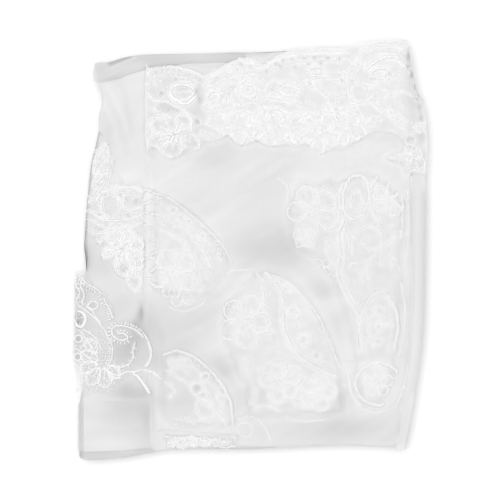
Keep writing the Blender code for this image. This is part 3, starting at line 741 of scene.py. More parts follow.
def seedsIn(out, x, y, radiusX, radiusY, turn, count, size=1.5):
    # loose seed stitches scattered in a petal or leaf
    for _ in range(count):
        far, angle = math.sqrt(random.random()), random.random() * math.tau
        px, py = turned(x, y, turn, radiusX * far * math.cos(angle),
                        radiusY * far * math.sin(angle))
        addStitch(out, px, py, math.radians(turn) + jitter(0.9), uneven(size, 0.3), 0.8, 0.2)


petalOutline = ((0.02, 0.04), (0.3, 0.38), (0.62, 0.5), (0.9, 0.32), (1.0, 0.0),
                (0.9, -0.32), (0.62, -0.5), (0.3, -0.38), (0.02, -0.04))


def petalKnots(x, y, turn, length, width):
    return [turned(x, y, turn, ahead * length, aside * width) for ahead, aside in petalOutline]


def petal(out, x, y, turn, length, width, edge=2.6, seeds=4):
    # a corded edge with teeth on its inner side, a vein and an open middle
    knots = petalKnots(x, y, turn, length, width)
    middleX, middleY = turned(x, y, turn, length * 0.5, 0.0)
    runAlong(out, knots, 1.55, lift=0.22, pitch=1.15)
    for px, py, _ in evenLine(knots[1:-1], 1.9):
        inward = math.atan2(middleY - py, middleX - px) + jitter(0.15)
        long = edge * (0.7 + random.random() * 0.6)
        addStitch(out, px, py, inward, long, 1.15, 0.12, 0.04, long / 2 + 0.2)
    runAlong(out, [(x, y), turned(x, y, turn, length * 0.32, 0.0), (middleX, middleY)], 1.1)
    seedsIn(out, middleX, middleY, length * 0.26, width * 0.24, turn, seeds)


def pistils(out, x, y, radius, turn, count=6, width=1.5):
    # thick short stitches that stand out from a flower's middle
    for i in range(count):
        angle = math.radians(turn + 20) + math.tau * i / count + jitter(0.2)
        long = radius * (0.85 + random.random() * 0.3)
        for share in (0.35, 0.75):
            addStitch(out, x, y, angle, long * 0.62, width, 0.5, far=long * share)
        bead(out, x + math.cos(angle) * long, y + math.sin(angle) * long, width * 1.25, 0.55)


def bloom(out, x, y, radius, turn, band=2.6, lines=3, petals=5):
    # a flower of broad petals: a satin edge and a fan of lines from its middle
    for i in range(petals):
        way = turn + 360.0 * i / petals + jitter(8)
        length, width = radius * (0.86 + jitter(0.07)), radius * (0.78 + jitter(0.08))
        footX, footY = turned(x, y, way, radius * 0.16, 0.0)
        satinAlong(out, petalKnots(footX, footY, way, length, width), band, pitch=1.0)
        for k in range(lines):
            aside = (k + 0.5) / lines - 0.5
            runAlong(out, [turned(footX, footY, way, length * 0.12, aside * width * 0.25),
                           turned(footX, footY, way, length * (0.76 - abs(aside) * 0.3),
                                  aside * width * 0.66)], band * 0.45, pitch=1.3, lift=0.12)
    satinAlong(out, ovalKnots(x, y, radius * 0.13, radius * 0.13), band * 0.6, closed=True)


def leaf(out, x, y, tipX, tipY, width):
    # outline, midrib and slanting satin from the rib to each side
    length = math.hypot(tipX - x, tipY - y)
    turn = math.degrees(math.atan2(tipY - y, tipX - x))
    for side in (1, -1):
        runAlong(out, [turned(x, y, turn, a * length, side * b * width) for a, b in
                       ((0, 0), (0.25, 0.36), (0.5, 0.5), (0.78, 0.34), (1, 0))], 1.2)
    runAlong(out, [(x, y), turned(x, y, turn, length * 0.5, 0.2), (tipX, tipY)], 1.1, lift=0.4)
    count = max(3, round(length / 1.3))
    for i in range(1, count):
        share = i / count
        half = width * 0.46 * math.sin(math.pi * share ** 0.85)
        px, py = turned(x, y, turn, length * share, 0.0)
        for side in (1, -1):
            addStitch(out, px, py, math.radians(turn) + side * 0.85, half * 1.25 + 0.4, 0.9, 0.28,
                      far=half * 0.6)


def twig(out, knots, reach=3.2, pitch=3.4):
    # a cord with short side stitches, as a little branch
    runAlong(out, knots, 1.6, lift=0.4)
    side = 1
    for x, y, heading in evenLine(knots, pitch)[1:]:
        for k in range(2):
            addStitch(out, x, y, heading + side * 1.2, reach * 0.62, 1.2, 0.4,
                      far=0.8 + k * reach * 0.42)
        side = -side


def curlCord(out, knots, side=1, width=2.0, reach=2.2):
    # a cord with bold teeth along one side of it
    runAlong(out, knots, width * 0.8, lift=0.35)
    teethAlong(out, knots, side, reach + 0.6, 2.3, 1.6, lift=0.35, start=width * 0.3)


def dotBand(out, knots, pitch=3.2, size=0.9):
    # a row of tiny eyelets between the two cords of a scallop
    for x, y, heading in evenLine(knots, pitch):
        for i in range(4):
            angle = math.tau * i / 4 + heading
            addStitch(out, x + math.cos(angle) * size, y + math.sin(angle) * size,
                      angle + quarterTurn, size * 1.5, 0.7, 0.3)


def scallop(out, knots, depth=5.0, side=1, width=1.9):
    # the border: outer satin with teeth, a row of eyelets and an inner cord
    line = evenLine(knots, 4.0)
    satinAlong(out, beside(line, -side * width * 0.4), width)
    teethAlong(out, knots, side, 2.0, start=0.5)
    dotBand(out, beside(line, -side * depth * 0.62))
    runAlong(out, beside(line, -side * depth), 1.2, lift=0.3)


def bars(out, first, second, pitch=2.2):
    # ladder bars from one line across to another
    for a, b in zip(evenLine(first, pitch), evenLine(second, pitch)):
        way = Vector((b[0] - a[0], b[1] - a[1]))
        count = max(1, round(way.length / 2.2))
        for k in range(count):
            share = (k + 0.5) / count
            addStitch(out, a[0] + way.x * share, a[1] + way.y * share,
                      math.atan2(way.y, way.x), way.length / count * 1.2, 0.9, 0.25)


def patch(out, x, y, radiusX, radiusY, turn=0.0, share=0.4, length=3.0, width=1.5):
    # an oval filled with short stitches that run along it
    stepX, stepY = 2.6, 1.9
    columns, rows = round(radiusX / stepX), round(radiusY / stepY)
    for j in range(-rows, rows + 1):
        for i in range(-columns, columns + 1):
            a = (i + 0.5 * (j % 2)) * stepX + jitter(0.9)
            b = j * stepY + jitter(0.7)
            if (a / radiusX) ** 2 + (b / radiusY) ** 2 > 1 or random.random() > share:
                continue
            px, py = turned(x, y, turn, a, b)
            addStitch(out, px, py, math.radians(turn) + jitter(0.5), uneven(length, 0.35),
                      uneven(width, 0.25), 0.08)


def filling(out, x0, x1, y0, y1, pitch, length, width, turn, share, seed):
    # short stitches all over a ground, in drifts that follow a slow turn
    rowRatio = 0.87
    for j in range(round((y1 - y0) / pitch / rowRatio)):
        for i in range(round((x1 - x0) / pitch)):
            x = x0 + (i + 0.5 * (j % 2)) * pitch + jitter(pitch * 0.42)
            y = y0 + j * pitch * rowRatio + jitter(pitch * 0.42)
            drift = noise.noise(Vector((x / 9.0, y / 9.0, seed)))
            if random.random() > share + drift * 0.9:
                continue
            lean = math.radians(turn) + 2.2 * noise.noise(Vector((x / 16, y / 16, seed + 5)))
            addStitch(out, x, y, lean + jitter(0.35), uneven(length, 0.4),
                      uneven(width, 0.3), 0.06)


makers = {
    "patches": patch, "runs": runAlong, "satins": satinAlong, "teeth": teethAlong,
    "eyelets": eyelet, "ovals": oval, "beads": beadsAlong, "seeds": seedsIn, "petals": petal,
    "pistils": pistils, "blooms": bloom, "leaves": leaf, "twigs": twig, "curls": curlCord,
    "scallops": scallop, "bars": bars,
}


def embroider(lace, edge):
    # all the stitches of a piece, kind by kind; the filling leaves its holes open
    fills = []
    for row in lace.get("fills", ()):
        filling(fills, *row)
    fills = np.array(fills).reshape(-1, 7)
    holes = [(row[0], row[1], row[2], row[2]) for row in lace.get("eyelets", ())]
    keep = np.ones(len(fills), bool)
    for x, y, radiusX, radiusY in holes + [row[:4] for row in lace.get("slots", ())]:
        keep &= ((fills[:, 0] - x) / radiusX) ** 2 + ((fills[:, 1] - y) / radiusY) ** 2 > 1
    out = []
    for kind in lace:
        if kind in makers:
            for row in lace[kind]:
                makers[kind](out, *row)
    rows = np.concatenate((np.array(out).reshape(-1, 7), fills[keep]))
    rows[:, :2] += np.random.default_rng(looseSeed).normal(0.0, lace["loose"], (len(rows), 2))
    rows[:, 2] *= lace["flat"]
    rows = rows[insideOf(rows[:, 0], rows[:, 1], edge)]
    return rows[np.argsort(rows[:, 0])]


plainLace = {"thread": threadMaterial, "inset": 0.8, "threadInset": 0.4, "loose": 0.1,
             "flat": 1.0, "holeShade": -0.22}


def eyeletHoles(lace):
    # a spot of painted shade in each eyelet, where the shaded depth below shows, a little smaller
    # than its ring
    share, least = 0.75, 1.2
    return [(row[0], row[1], max(least, row[2] * share), max(least, (row + row[2:])[3] * share),
             lace["holeShade"]) for row in lace.get("eyelets", ())]


def layLace(name, lace, heightOf):
    # a net ground with its stitches; the holes of the eyelets and the slots are painted dark, as
    # shade
    edge = planEdge(lace["node"], inset=lace["inset"])
    stitches = embroider(lace, planEdge(lace["node"], inset=lace["threadInset"]))
    spots = list(lace.get("spots", ())) + list(lace.get("slots", ())) + eyeletHoles(lace)
    net = clothSheet(name + "Net", edge, {**lace, "spots": spots}, heightOf,
                     clothMaterial(name + "Net", lace["look"]), stitches)
    threads = sewPiece(name + "Threads", stitches, heightOf, lace["thread"],
                       lace.get("threadTones"))
    placeIn(threads)
    placeIn(net, lace["node"])
    print(name, len(stitches), "stitches")
    return stitches


# the lower panel, the top of the stack

lowerPanel = {
    "node": "tulle_lower_panel", "step": 2.5, "inset": 1.9, "innerEdgeLight": (1.0, 3.5, 0.05),
    "cell": 3.2, "level": 10.5, "roll": 0.7, "seed": 1.3, "rippleHeight": 0.25, "rippleSize": 26.0,
    "look": {**tulleLook, "colour": grey(0.81), "holeAlpha": 0.84, "holeDark": 0.06, "grain": 24},
    "clouds": [(26, 2.5, 40, 0.05, 2.0), (7, 5.0, 30, 0.03, 5.0)],
    "creases": [
        ([(-101, 146), (-100, 110), (-103, 70)], 2.2, 0.35),
        ([(-95, 146), (-94, 108), (-96, 74)], 1.8, -0.3),
        ([(-122, 138), (-112, 116), (-104, 98)], 4.0, 0.4),
        ([(-127, 122), (-116, 104), (-112, 92)], 3.0, -0.3),
        ([(-90, -45), (-97, -60), (-92, -76)], 3.0, -0.4),
    ],
    # darker and lighter patches of tone; the dark ones along the left rim, near x -146 and -139.5,
    # are painted shade of the stack's edge, and the light one below the flap at (110, 82) is
    # painted light against the flap's shadow
    "spots": [
        (-118, 152, 16, 12, -0.05), (-120, 108, 16, 18, -0.03), (14, -2, 34, 18, -0.1),
        (6, 0, 16, 10, -0.04), (38, 4, 10, 9, -0.08), (-75, -68, 26, 16, -0.12),
        (-45, -60, 22, 12, -0.07), (-86, -60, 8, 22, -0.06), (-112, -76, 18, 20, -0.09),
        (-106, -88, 12, 11, -0.14), (-97, -74, 7, 10, -0.12), (-146, -60, 10, 40, -0.16),
        (-115, 104, 24, 36, -0.03), (-106, -116, 10, 8, -0.06), (80, -158, 60, 10, -0.06),
        (-108, -42, 16, 12, -0.05), (-132, 0, 10, 30, -0.05), (-139.5, -7, 4, 10, -0.22),
        (-62, -97, 24, 14, -0.24), (51, -128, 14, 8, -0.22), (68, -124, 12, 16, -0.24),
        (102, -112, 8, 10, -0.08), (0, -126, 10, 10, -0.06), (-102, -8, 8, 8, -0.06),
        (-119, -16, 12, 14, -0.06), (-100, -123.5, 24, 6, -0.13), (-82.4, -140, 2.2, 20, -0.1),
        (-58, -130, 18, 10, -0.14), (-68, -16, 12, 14, -0.07), (-50, -112, 12, 10, -0.06),
        (110, 82, 24, 12, 0.05), (-102, -120, 12, 10, -0.1), (-90, -122, 5, 10, -0.08),
        (-30, 78, 18, 10, -0.06), (88, -150, 46, 8, -0.12), (-50, -126, 9, 6, -0.18),
        (-68, -132, 16, 8, -0.1), (-72, -115, 8, 7, -0.12), (-38, -108, 3, 3, -0.16),
        (-46, -118, 5, 4, -0.14), (-27, -97, 5, 6, -0.1), (-20, -103, 6, 6, -0.1),
        (62, -33, 11, 8, -0.16), (76, -62, 6, 15, -0.09), (76, -126, 6, 12, -0.14),
        (90, -56, 5, 12, -0.1), (128, -42, 7, 10, -0.12), (14, -126, 20, 12, -0.22),
        (-16, -98, 10, 14, -0.07), (-68, -30, 12, 9, -0.14), (-40, -36, 20, 6, -0.06),
        (102, -16, 8, 5, -0.1), (118, -16, 8, 6, -0.08), (-12, -75, 4, 4, -0.1),
        (-70, -2, 8, 6, -0.06), (28, 14, 14, 12, -0.06),
    ],
    # painted shade: dark bands beside the upper panel's left edge, along the stack's rims at the
    # left, top and bottom, and down the corner's left side; the thin light and dark lines at the
    # upper left are painted highlights and shade on its creases
    "bands": [
        ([(-91.6, -46), (-92.6, -56)], 0.9, 1.8, -0.16),
        ([(-93, -54), (-96, -62)], 2.4, 2.4, -0.13),
        ([(-128.8, 100), (-134.6, 76), (-137.6, 50), (-141, 2), (-139.6, -16)], 1.0, 1.0, -0.26),
        ([(-20, 166.6), (15, 167.8), (42, 169.4), (84, 170.6), (104, 175.6),
          (133, 177)], 1.0, 0.8, -0.35),
        ([(-126, 128), (-116, 108), (-112, 84)], 0.6, 2.2, 0.05),
        ([(-122, 142), (-108, 112), (-100, 86)], 0.6, 2.2, 0.05),
        ([(-128, 66), (-112, 60), (-96, 64)], 1.6, 3.0, 0.04),
        ([(-108, 140), (-103, 112), (-104, 84)], 0.6, 1.8, -0.05),
        ([(-144.5, -124), (-144.5, -174)], 2.6, 0.8, -0.17),
        ([(-146, -176), (-110, -175), (-84, -171.5)], 3.0, 1.2, -0.15),
        ([(-50, -169.5), (20, -169.5)], 1.6, 0.8, -0.15),
    ],
}


# cords of the lace that lies deepest, which only just shows
stackLace = {
    "loose": 0.4, "flat": 0.35,
    "runs": [
        ([(-30, -26), (-18, -19), (-4, -17), (8, -20)], 2.8),
        ([(84, -104), (86, -122), (96, -135), (110, -138), (124, -132), (131, -116)], 3.2),
        ([(60, -100), (76, -95), (90, -96)], 2.8), ([(2, -78), (10, -90), (20, -98)], 2.6),
        ([(16, -128), (28, -140), (44, -146), (64, -144)], 2.8),
        ([(128, -26), (132, -50), (130, -78), (126, -92)], 3.0),
        ([(-84, -6), (-76, -14), (-78, -26)], 2.6), ([(24, 62), (32, 54), (32, 42)], 2.6),
        ([(134, 50), (135, 20), (133, -10)], 2.8),
        ([(56, 8), (64, -2), (62, -12), (54, -16)], 2.6),
        ([(-70, -48), (-56, -52), (-44, -48), (-36, -42)], 2.6),
        ([(-94, 50.5), (-88, 51), (-80, 49)], 3.6), ([(-94, 31), (-88, 31.5), (-80, 30)], 2.6),
        ([(-94, 23), (-88, 20), (-80, 17)], 2.4), ([(-94, 37), (-88, 40), (-80, 41)], 3.0),
        ([(-96, -12), (-88, -8), (-80, -6)], 2.6), ([(-96, -26), (-88, -24), (-80, -26)], 2.6),
        ([(-10, -144), (-3, -141.5), (5, -143.5), (12, -150), (17.5, -160)], 3.6),
        ([(-21, -148), (-16, -154), (-12, -160)], 2.6),
        ([(-98, -103.5), (-90, -102.5), (-82, -105), (-76, -110)], 2.6),
        ([(-91, -72), (-87.5, -76), (-85, -82), (-84, -88), (-85.5, -94), (-89, -99)], 3.6),
    ],
    "satins": [(ovalKnots(-4, -153, 6.5, 6), 2.6, 1.0, True)],
    "blooms": [(-58, -36, 12, 30, 2.8, 1), (34, -88, 13, 0, 2.8, 1)],
    "patches": [(52, -112, 8, 6, 30, 0.5), (96, -96, 7, 5, 0, 0.5), (20, -116, 6, 5, 0, 0.5)],
}


def layLowerPanel():
    # painted light: a light band round each inner lace's outline, against the shadow its edge casts
    # on the panel; the panel's sides show
    edge = edgeOf(lowerPanel)
    for side in ("left", "corner", "centre", "right"):
        loop = planEdge("lace_inner_" + side, 4.0)
        lowerPanel["bands"].append((loop + loop[:1], *lowerPanel["innerEdgeLight"]))
    heightOf = flatHeight(lowerPanel)
    piece = clothSheet("lowerPanel", edge, lowerPanel, heightOf,
                       clothMaterial("stackTulle", lowerPanel["look"]))
    threads = sewPiece("stackThreads", embroider(stackLace, edge), heightOf, softThread)
    placeIn(piece, lowerPanel["node"])
    placeIn(threads)


layLowerPanel()
print("lower panel")


# the strips of folded edges and the corner panel

# the folded strips are a darker grey than the panels: painted shade of edges that fold away from
# the light
foldLook = {**tulleLook, "colour": grey(0.69), "pitch": 0.0015, "holeAlpha": 0.8,
            "holeDark": 0.1, "grain": 40}
topFold = {
    "step": 1.8, "inset": 0.6, "slot": "tulle_folded", "material": "topFoldTulle",
    "node": "tulle_top_fold", "cell": 1.3, "level": 11.7, "roll": 0.2, "seed": 4.0, "sink": 0.95,
    "sinkWidth": 6.0,
    "sinkLine": [(-133, 143), (-112, 145.5), (-98, 150.5), (-84, 155.5), (-50, 158.5), (-4, 160)],
    "rippleHeight": 0.2, "rippleSize": 12.0, "look": foldLook, "clouds": [(9, 4.0, 20, 0.06, 6.0)],
    "creases": [
        ([(-130, 156), (-112, 158.5), (-84, 164), (-20, 166)], 1.6, 0.3),
        ([(-130, 151), (-110, 156), (-88, 160.5), (-10, 163)], 1.4, 0.25),
        ([(-129, 147), (-108, 151.5), (-86, 158), (-50, 160.5)], 1.4, 0.2),
        ([(-124, 146), (-110, 153), (-98, 160.5)], 1.2, 0.25),
        ([(-120, 148), (-104, 156), (-90, 163)], 1.1, 0.2),
        ([(-130, 153.5), (-110, 157.2), (-86, 162), (-30, 164.5)], 1.0, -0.2),
    ],
    # painted light and shade: light lines on the ridges of its creases, a dark band in the twist at
    # its left end and a dark line along its top edge
    "spots": [(-98, 154, 12, 4, 0.06), (-126, 147, 6, 4, 0.04)],
    "bands": [
        ([(-119, 158.6), (-111, 161.6), (-102, 165.0)], 1.2, 1.2, -0.24),
        ([(-123, 152.5), (-112, 157.2), (-98, 163.5)], 0.5, 0.8, 0.2),
        ([(-120, 148.5), (-104, 155.5), (-92, 160.5)], 0.3, 0.9, 0.12),
        ([(-112, 147.5), (-98, 153.5), (-86, 158.5)], 0.3, 0.9, 0.1),
        ([(-96, 166), (-60, 167), (-6, 168)], 0.3, 0.7, -0.15),
    ],
}
rightFold = {
    "step": 1.8, "inset": 0.3, "slot": "tulle_folded", "material": "rightFoldTulle",
    "node": "tulle_right_fold", "cell": 1.2, "level": 11.9, "roll": 0.35, "seed": 7.0,
    "rippleHeight": 0.12, "rippleSize": 14.0, "look": {**foldLook, "colour": grey(0.8)},
    "stepRange": (-164, 60),
    "steps": [(0.8, -0.03), (2.9, 0.015), (5.0, -0.025), (7.2, 0.015), (9.4, -0.02)],
    "creases": [], "spots": [(144, -120, 8, 60, 0.06)], "bands": [], "sink": 0.9, "sinkWidth": 5.0,
    "sinkLine": [(138.6, 62), (139, -40), (136.6, -90), (128.2, -150), (124.5, -167)],
}
cornerPanel = {
    "step": 2.0, "slot": "tulle", "material": "cornerPanelTulle", "node": "tulle_corner_panel",
    "cell": 2.4, "level": 11.6, "roll": 0.05, "seed": 9.0, "rippleHeight": 0.1, "rippleSize": 18.0,
    "sink": 0.95, "sinkWidth": 10.0,
    "corners": [
        (-141.4, -171.8), (-110, -170.8), (-85.2, -168.6), (-85.2, -128.6), (-141.4, -128.6),
    ],
    "look": {
        **tulleLook, "colour": grey(0.785), "holeAlpha": 0.86, "threadAlpha": 0.97,
        "holeDark": 0.14, "grain": 45,
    },
    "creases": [
        ([(-138, -152), (-112, -153.5), (-88, -151)], 2.2, 0.35),
        ([(-138, -160), (-112, -161.5), (-88, -159)], 1.8, 0.35),
        ([(-138, -164.5), (-112, -165.5), (-88, -163)], 1.2, -0.3),
        ([(-126, -131), (-106, -142), (-96, -152)], 2.0, 0.3),
        ([(-112, -130), (-96, -140), (-88, -156)], 1.6, -0.35),
    ],
    # the dark strip down its right side at x -88 is painted shade where it meets the panel behind
    "spots": [
        (-104, -132, 17, 15, -0.1), (-91, -138, 8, 18, -0.05), (-136, -150, 10, 30, 0.03),
        (-112, -162, 30, 6, 0.04), (-88, -146, 3, 14, -0.08),
    ],
    "clouds": [(9, 3.0, 0, 0.05, 3.0)],
}


def rightSide(edge, offset, lowY, highY, step=8.0):
    # a line that runs beside the right-hand edge, for the folds stacked there
    places = []
    for y in np.arange(lowY, highY, step).tolist():
        xs = [a[0] + (y - a[1]) / (b[1] - a[1]) * (b[0] - a[0])
              for a, b in sidesOf(edge) if (a[1] > y) != (b[1] > y)]
        places.append((max(xs) - offset, y))
    return places


def straightLoop(corners, step):
    loop = []
    for a, b in sidesOf(corners):
        count = max(1, round(math.dist(a, b) / step))
        loop += [(a[0] + (b[0] - a[0]) * i / count, a[1] + (b[1] - a[1]) * i / count)
                 for i in range(count)]
    return loop


def cornerPanelHeight(x, y):
    # it sinks towards the sides where it runs into the panel behind it
    sideX, sideY = cornerPanel["corners"][3]
    return cornerPanel["level"] - sinkOf(cornerPanel, np.minimum(sideX - x, sideY - y))


def layCloth(name, cloth, edge, heightOf):
    # a sheet without stitches, in place of its solid
    piece = clothSheet(name, edge, cloth, heightOf, clothMaterial(cloth["material"], cloth["look"]))
    placeIn(piece, cloth["node"])


def layStrips():
    # each step of the right-hand fold is a low crease with a band of shade
    side = planEdge(rightFold["node"])
    for offset, change in rightFold["steps"]:
        line = rightSide(side, offset, *rightFold["stepRange"])
        rightFold["creases"].append((line, 1.4, change * 1.5))
        rightFold["bands"].append((line, 0.1, 1.7, change))
    # a band of painted shade along its outer edge, where the fold turns down
    rightFold["bands"].append((rightSide(side, 1.6, -120, 50), 1.2, 1.6, -0.08))
    layCloth("topFold", topFold, edgeOf(topFold), sunkHeight(topFold))
    layCloth("rightFold", rightFold, edgeOf(rightFold), sunkHeight(rightFold))
    edge = straightLoop(cornerPanel["corners"], cornerPanel["step"])
    layCloth("cornerPanel", cornerPanel, edge, cornerPanelHeight)


layStrips()
print("strips and corner panel")


# the lace that juts out at the lower left

cornerLace = {
    **plainLace, "node": "lace_left_corner", "cell": 1.8, "seed": 2.2, "rippleHeight": 0.1,
    "rippleSize": 15.0, "level": 11.4, "inset": 0.9, "denseCover": 4.0, "denseShade": 0.05,
    "look": {**laceLook, "colour": grey(0.88), "holeAlpha": 0.05, "threadAlpha": 0.5, "grain": 38},
    "cover": {
        "spots": [
            (-136, -84, 10, 16, 0.4), (-128, -110, 16, 9, 0.5), (-108, -86, 9, 12, -0.5),
            (-94, -84, 6, 14, -0.5), (-147, -40, 6, 26, 1.0), (-148, -85, 5, 22, 1.0),
        ],
    },
    # the dark spots along its left side are painted shadow under the lace where it hangs past the
    # stack's edge, and the net is made denser there to carry it; the rest darken its ground
    "spots": [
        (-147, -34, 6, 16, -0.4), (-149, -62, 4, 20, -0.4), (-148, -88, 5, 16, -0.3),
        (-145.5, -59, 3.4, 5.4, -0.6), (-135, -34, 8, 5, -0.12), (-104, -86, 10, 10, -0.06),
    ],
    "fills": [
        (-150, -112, -124, -68, 2.3, 1.8, 1.2, 40, 0.4, 4.0),
        (-150, -141, -70, -18, 2.2, 2.0, 1.3, 40, 0.4, 6.0),
    ],
    "curls": [
        ([(-148, -21), (-143, -24), (-138.5, -29), (-131, -33), (-126.5, -37.5)], -1, 2.0, 2.6),
        ([(-124.5, -41.5), (-121.5, -47), (-118.5, -53), (-116.8, -58)], -1, 2.4, 3.2),
        ([(-91, -74), (-94, -70.5), (-98, -67.6), (-104, -65.4), (-110, -64.4), (-115, -65),
          (-117.4, -67.6), (-117.4, -71), (-115, -74.6), (-111, -76.6), (-106, -76.4), (-104, -74),
          (-106, -71.8), (-109.5, -70.8), (-112, -71.4)], -1, 2.4, 2.7),
        ([(-121.5, -73), (-118, -79), (-117, -86), (-118, -93), (-120, -97)], -1, 1.8, 2.2),
    ],
    "satins": [
        ([(-146, -52), (-141.5, -54), (-140, -60), (-143, -65), (-147, -64.5),
          (-149.3, -60)], 3.4),
        ([(-99, -105), (-94.5, -109), (-90, -115), (-87, -120), (-84, -124)], 3.4),
    ],
    "teeth": [([(-97, -107), (-92, -112), (-88, -118), (-86, -121)], 1, 3.0, 2.2, 1.3)],
    "bars": [
        ([(-126, -38), (-123, -42), (-120, -50), (-117, -58)], [(-122, -36), (-119, -42),
          (-116.5, -49), (-113.5, -56)], 2.0),
    ],
    "runs": [
        ([(-142, -49.5), (-135, -55), (-130, -60), (-125, -66), (-121, -73)], 1.6),
        ([(-139, -48), (-134, -52), (-131, -57), (-127, -62)], 1.4),
        ([(-124, -101), (-118, -105), (-112, -106.5), (-106, -104), (-100, -103.5),
          (-94, -102.5)], 1.9),
        ([(-122, -103), (-116, -108), (-110, -109)], 1.4),
        ([(-149, -22), (-148, -30), (-145, -36), (-148, -43), (-144, -49)], 1.5),
        ([(-143, -24), (-144, -31), (-141, -38), (-143, -45)], 1.4),
        ([(-144, -70), (-139, -76), (-134, -84), (-130, -88)], 1.4),
        ([(-148, -84), (-142, -88), (-136, -93), (-130, -98)], 1.7),
        ([(-141, -68), (-134, -72), (-129, -79), (-126, -85)], 1.3),
    ],
    "twigs": [
        ([(-98, -79), (-99.5, -85), (-99.5, -91), (-102, -96), (-108, -99.5), (-114, -99),
          (-119, -99)], 3.6, 4.2),
    ],
    "eyelets": [
        (-133.5, -47, 4.0, 3.3, 0, 1.8), (-146, -75.5, 3.4, 3.0, 0, 2.0),
        (-146.5, -91, 3.3, 3.0, 0, 2.0), (-147, -24, 2.0), (-146.5, -31, 2.0),
        (-147.3, -39.5, 2.0), (-144.5, -46, 2.0), (-138, -33, 1.6), (-133, -36, 1.6),
    ],
    "beads": [
        ([(-130, -90.5), (-128.5, -93.8), (-124.5, -94), (-122.5, -91), (-124, -87.6),
          (-128, -87)], 1.8, 1.5, True),
        ([(-127.5, -90.5), (-126, -92), (-124.8, -90)], 1.6, 1.5),
    ],
    "petals": [
        (-129, -94, 158, 16, 11), (-130, -97, 200, 15, 11), (-128, -100, 236, 17, 12),
        (-124, -100, 272, 17, 12), (-121, -98, 312, 14, 10), (-131, -88, 122, 14, 10),
    ],
    "seeds": [
        (-136, -84, 6, 8, 0, 18), (-128, -110, 12, 6, 0, 40), (-132, -74, 8, 9, 0, 16),
        (-140, -100, 6, 8, 0, 16),
    ],
}
droop = {"bendX": -143.4, "endX": -149.5, "turnY": -80.0, "endY": -111.0, "slope": 0.5}


def cornerHeight(x, y):
    # level on the stack, then hanging down past its edge
    share = np.clip((droop["turnY"] - y) / (droop["turnY"] - droop["endY"]), 0, None)
    bend = droop["bendX"] + (droop["endX"] - droop["bendX"]) * share
    return cornerLace["level"] - droop["slope"] * np.clip(bend - x, 0, None)


layLace("cornerLace", cornerLace, cornerHeight)


# the other lace at the left and along the bottom

middleLace = {
    **plainLace, "node": "lace_left_middle", "cell": 1.8, "seed": 5.1, "rippleHeight": 0.15,
    "rippleSize": 18.0, "level": 11.4, "denseCover": 2.5, "denseShade": 0.05,
    "look": {**laceLook, "colour": grey(0.95), "holeAlpha": 0.2, "grain": 20},
    "cover": {"spots": [(-115, -5, 22, 18, 0.5), (-98, -28, 8, 12, 0.6), (-122, 70, 8, 16, 0.3)]},
    "loose": 0.22, "clouds": [(8, 1.5, 10, 0.04, 13.0)],
    "spots": [
        (-119, 37, 6, 9, -0.05), (-104, -20, 14, 14, -0.1), (-122, 72, 5, 7, -0.08),
        (-124, 8, 10, 5, -0.08),
    ],
    # a band of painted shade along its left side, where the stack's edge turns down
    "bands": [([(-130, 96), (-134.8, 74), (-137.6, 50), (-140.4, 10)], 0.5, 1.2, -0.3)],
    "fills": [(-140, -90, -42, 100, 3.0, 3.0, 1.4, 10, 0.1, 3.0)],
    "leaves": [
        (-133, 66, -122, 90, 9), (-128, 62, -119, 78, 7), (-134, 54, -120, 66, 8),
        (-137, 40, -128, 50, 6),
    ],
    "seeds": [
        (-124, 80, 4, 5, 60, 14), (-122, 66, 4, 4, 40, 12), (-119, 16, 20, 7, 0, 40),
        (-104, 20, 10, 8, 0, 16),
    ],
    "ovals": [(-119, 38, 7.5, 11.5, 6, 1.4, 1.5)],
    "scallops": [
        ([(-132, 42), (-128, 48), (-120, 52), (-110, 54), (-100, 54), (-90.5, 50.5)], 5.5, 1, 2.2),
    ],
    "eyelets": [
        (-97, 41, 3.0), (-104.5, 43, 2.2), (-128, 30, 2.0), (-110, 47, 1.6), (-104, 30, 2.0),
    ],
    "runs": [
        ([(-137, 34), (-124, 26), (-110, 25), (-96, 28), (-90.5, 31)], 1.7),
        ([(-138, 26), (-122, 20), (-106, 20), (-91, 23)], 1.5),
        ([(-138, 17), (-128, 14), (-116, 16), (-104, 14)], 1.4),
        ([(-91, 36), (-98, 34), (-106, 35), (-110, 40), (-108, 46)], 1.5),
    ],
    "petals": [
        (-115, 1, 168, 16, 15, 3.6), (-113, -1, 228, 17, 15, 3.6), (-109, -3, 282, 20, 14, 3.6),
        (-104, -4, 318, 17, 14, 3.6), (-104, 2, 20, 14, 13, 3.4), (-108, 5, 70, 14, 13, 3.4),
        (-112, 5, 118, 14, 13, 3.4), (-101, -13, 281, 22, 12, 3.0),
    ],
    "pistils": [(-109, 1, 7, 10, 7)], "twigs": [([(-98, -8), (-97, -16), (-97.5, -24)], 2.6, 3.0)],
}
bottomLace = {
    **plainLace, "node": "lace_bottom_edge", "cell": 1.8, "seed": 6.1, "rippleHeight": 0.1,
    "rippleSize": 12.0, "level": 11.4,
    "look": {**laceLook, "colour": grey(0.84), "holeAlpha": 0.25, "grain": 12}, "cover": {},
    "denseCover": 2.5, "denseShade": 0.05, "loose": 0.3, "fade": 1.5,
    "petals": [
        (-66, -163, 250, 5, 7, 1.6), (-57, -160, 262, 9, 9, 1.8), (-50, -158, 285, 9, 8, 1.8),
        (-38, -158, 268, 9, 10, 1.8),
    ],
    "runs": [
        ([(-12, -167), (-22, -168.4), (-30, -166.5)], 1.3),
        ([(-73, -158.5), (-60, -159.4), (-48, -158.5)], 1.3),
        ([(-30, -160), (-24, -164), (-16, -163)], 1.4),
    ],
    "patches": [(-62, -163, 6, 3, 10), (-44, -162, 6, 3, 0), (-26, -162, 7, 3, -10)],
    "seeds": [(-40, -163, 24, 4, 0, 40)],
    "eyelets": [(-59, -164, 1.4), (-30, -163, 1.5), (-18, -160.5, 1.3)],
}
layLace("middleLace", middleLace, flatHeight(middleLace))
layLace("bottomLace", bottomLace, flatHeight(bottomLace))


# the lace that lies inside and shows softly through the upper panel

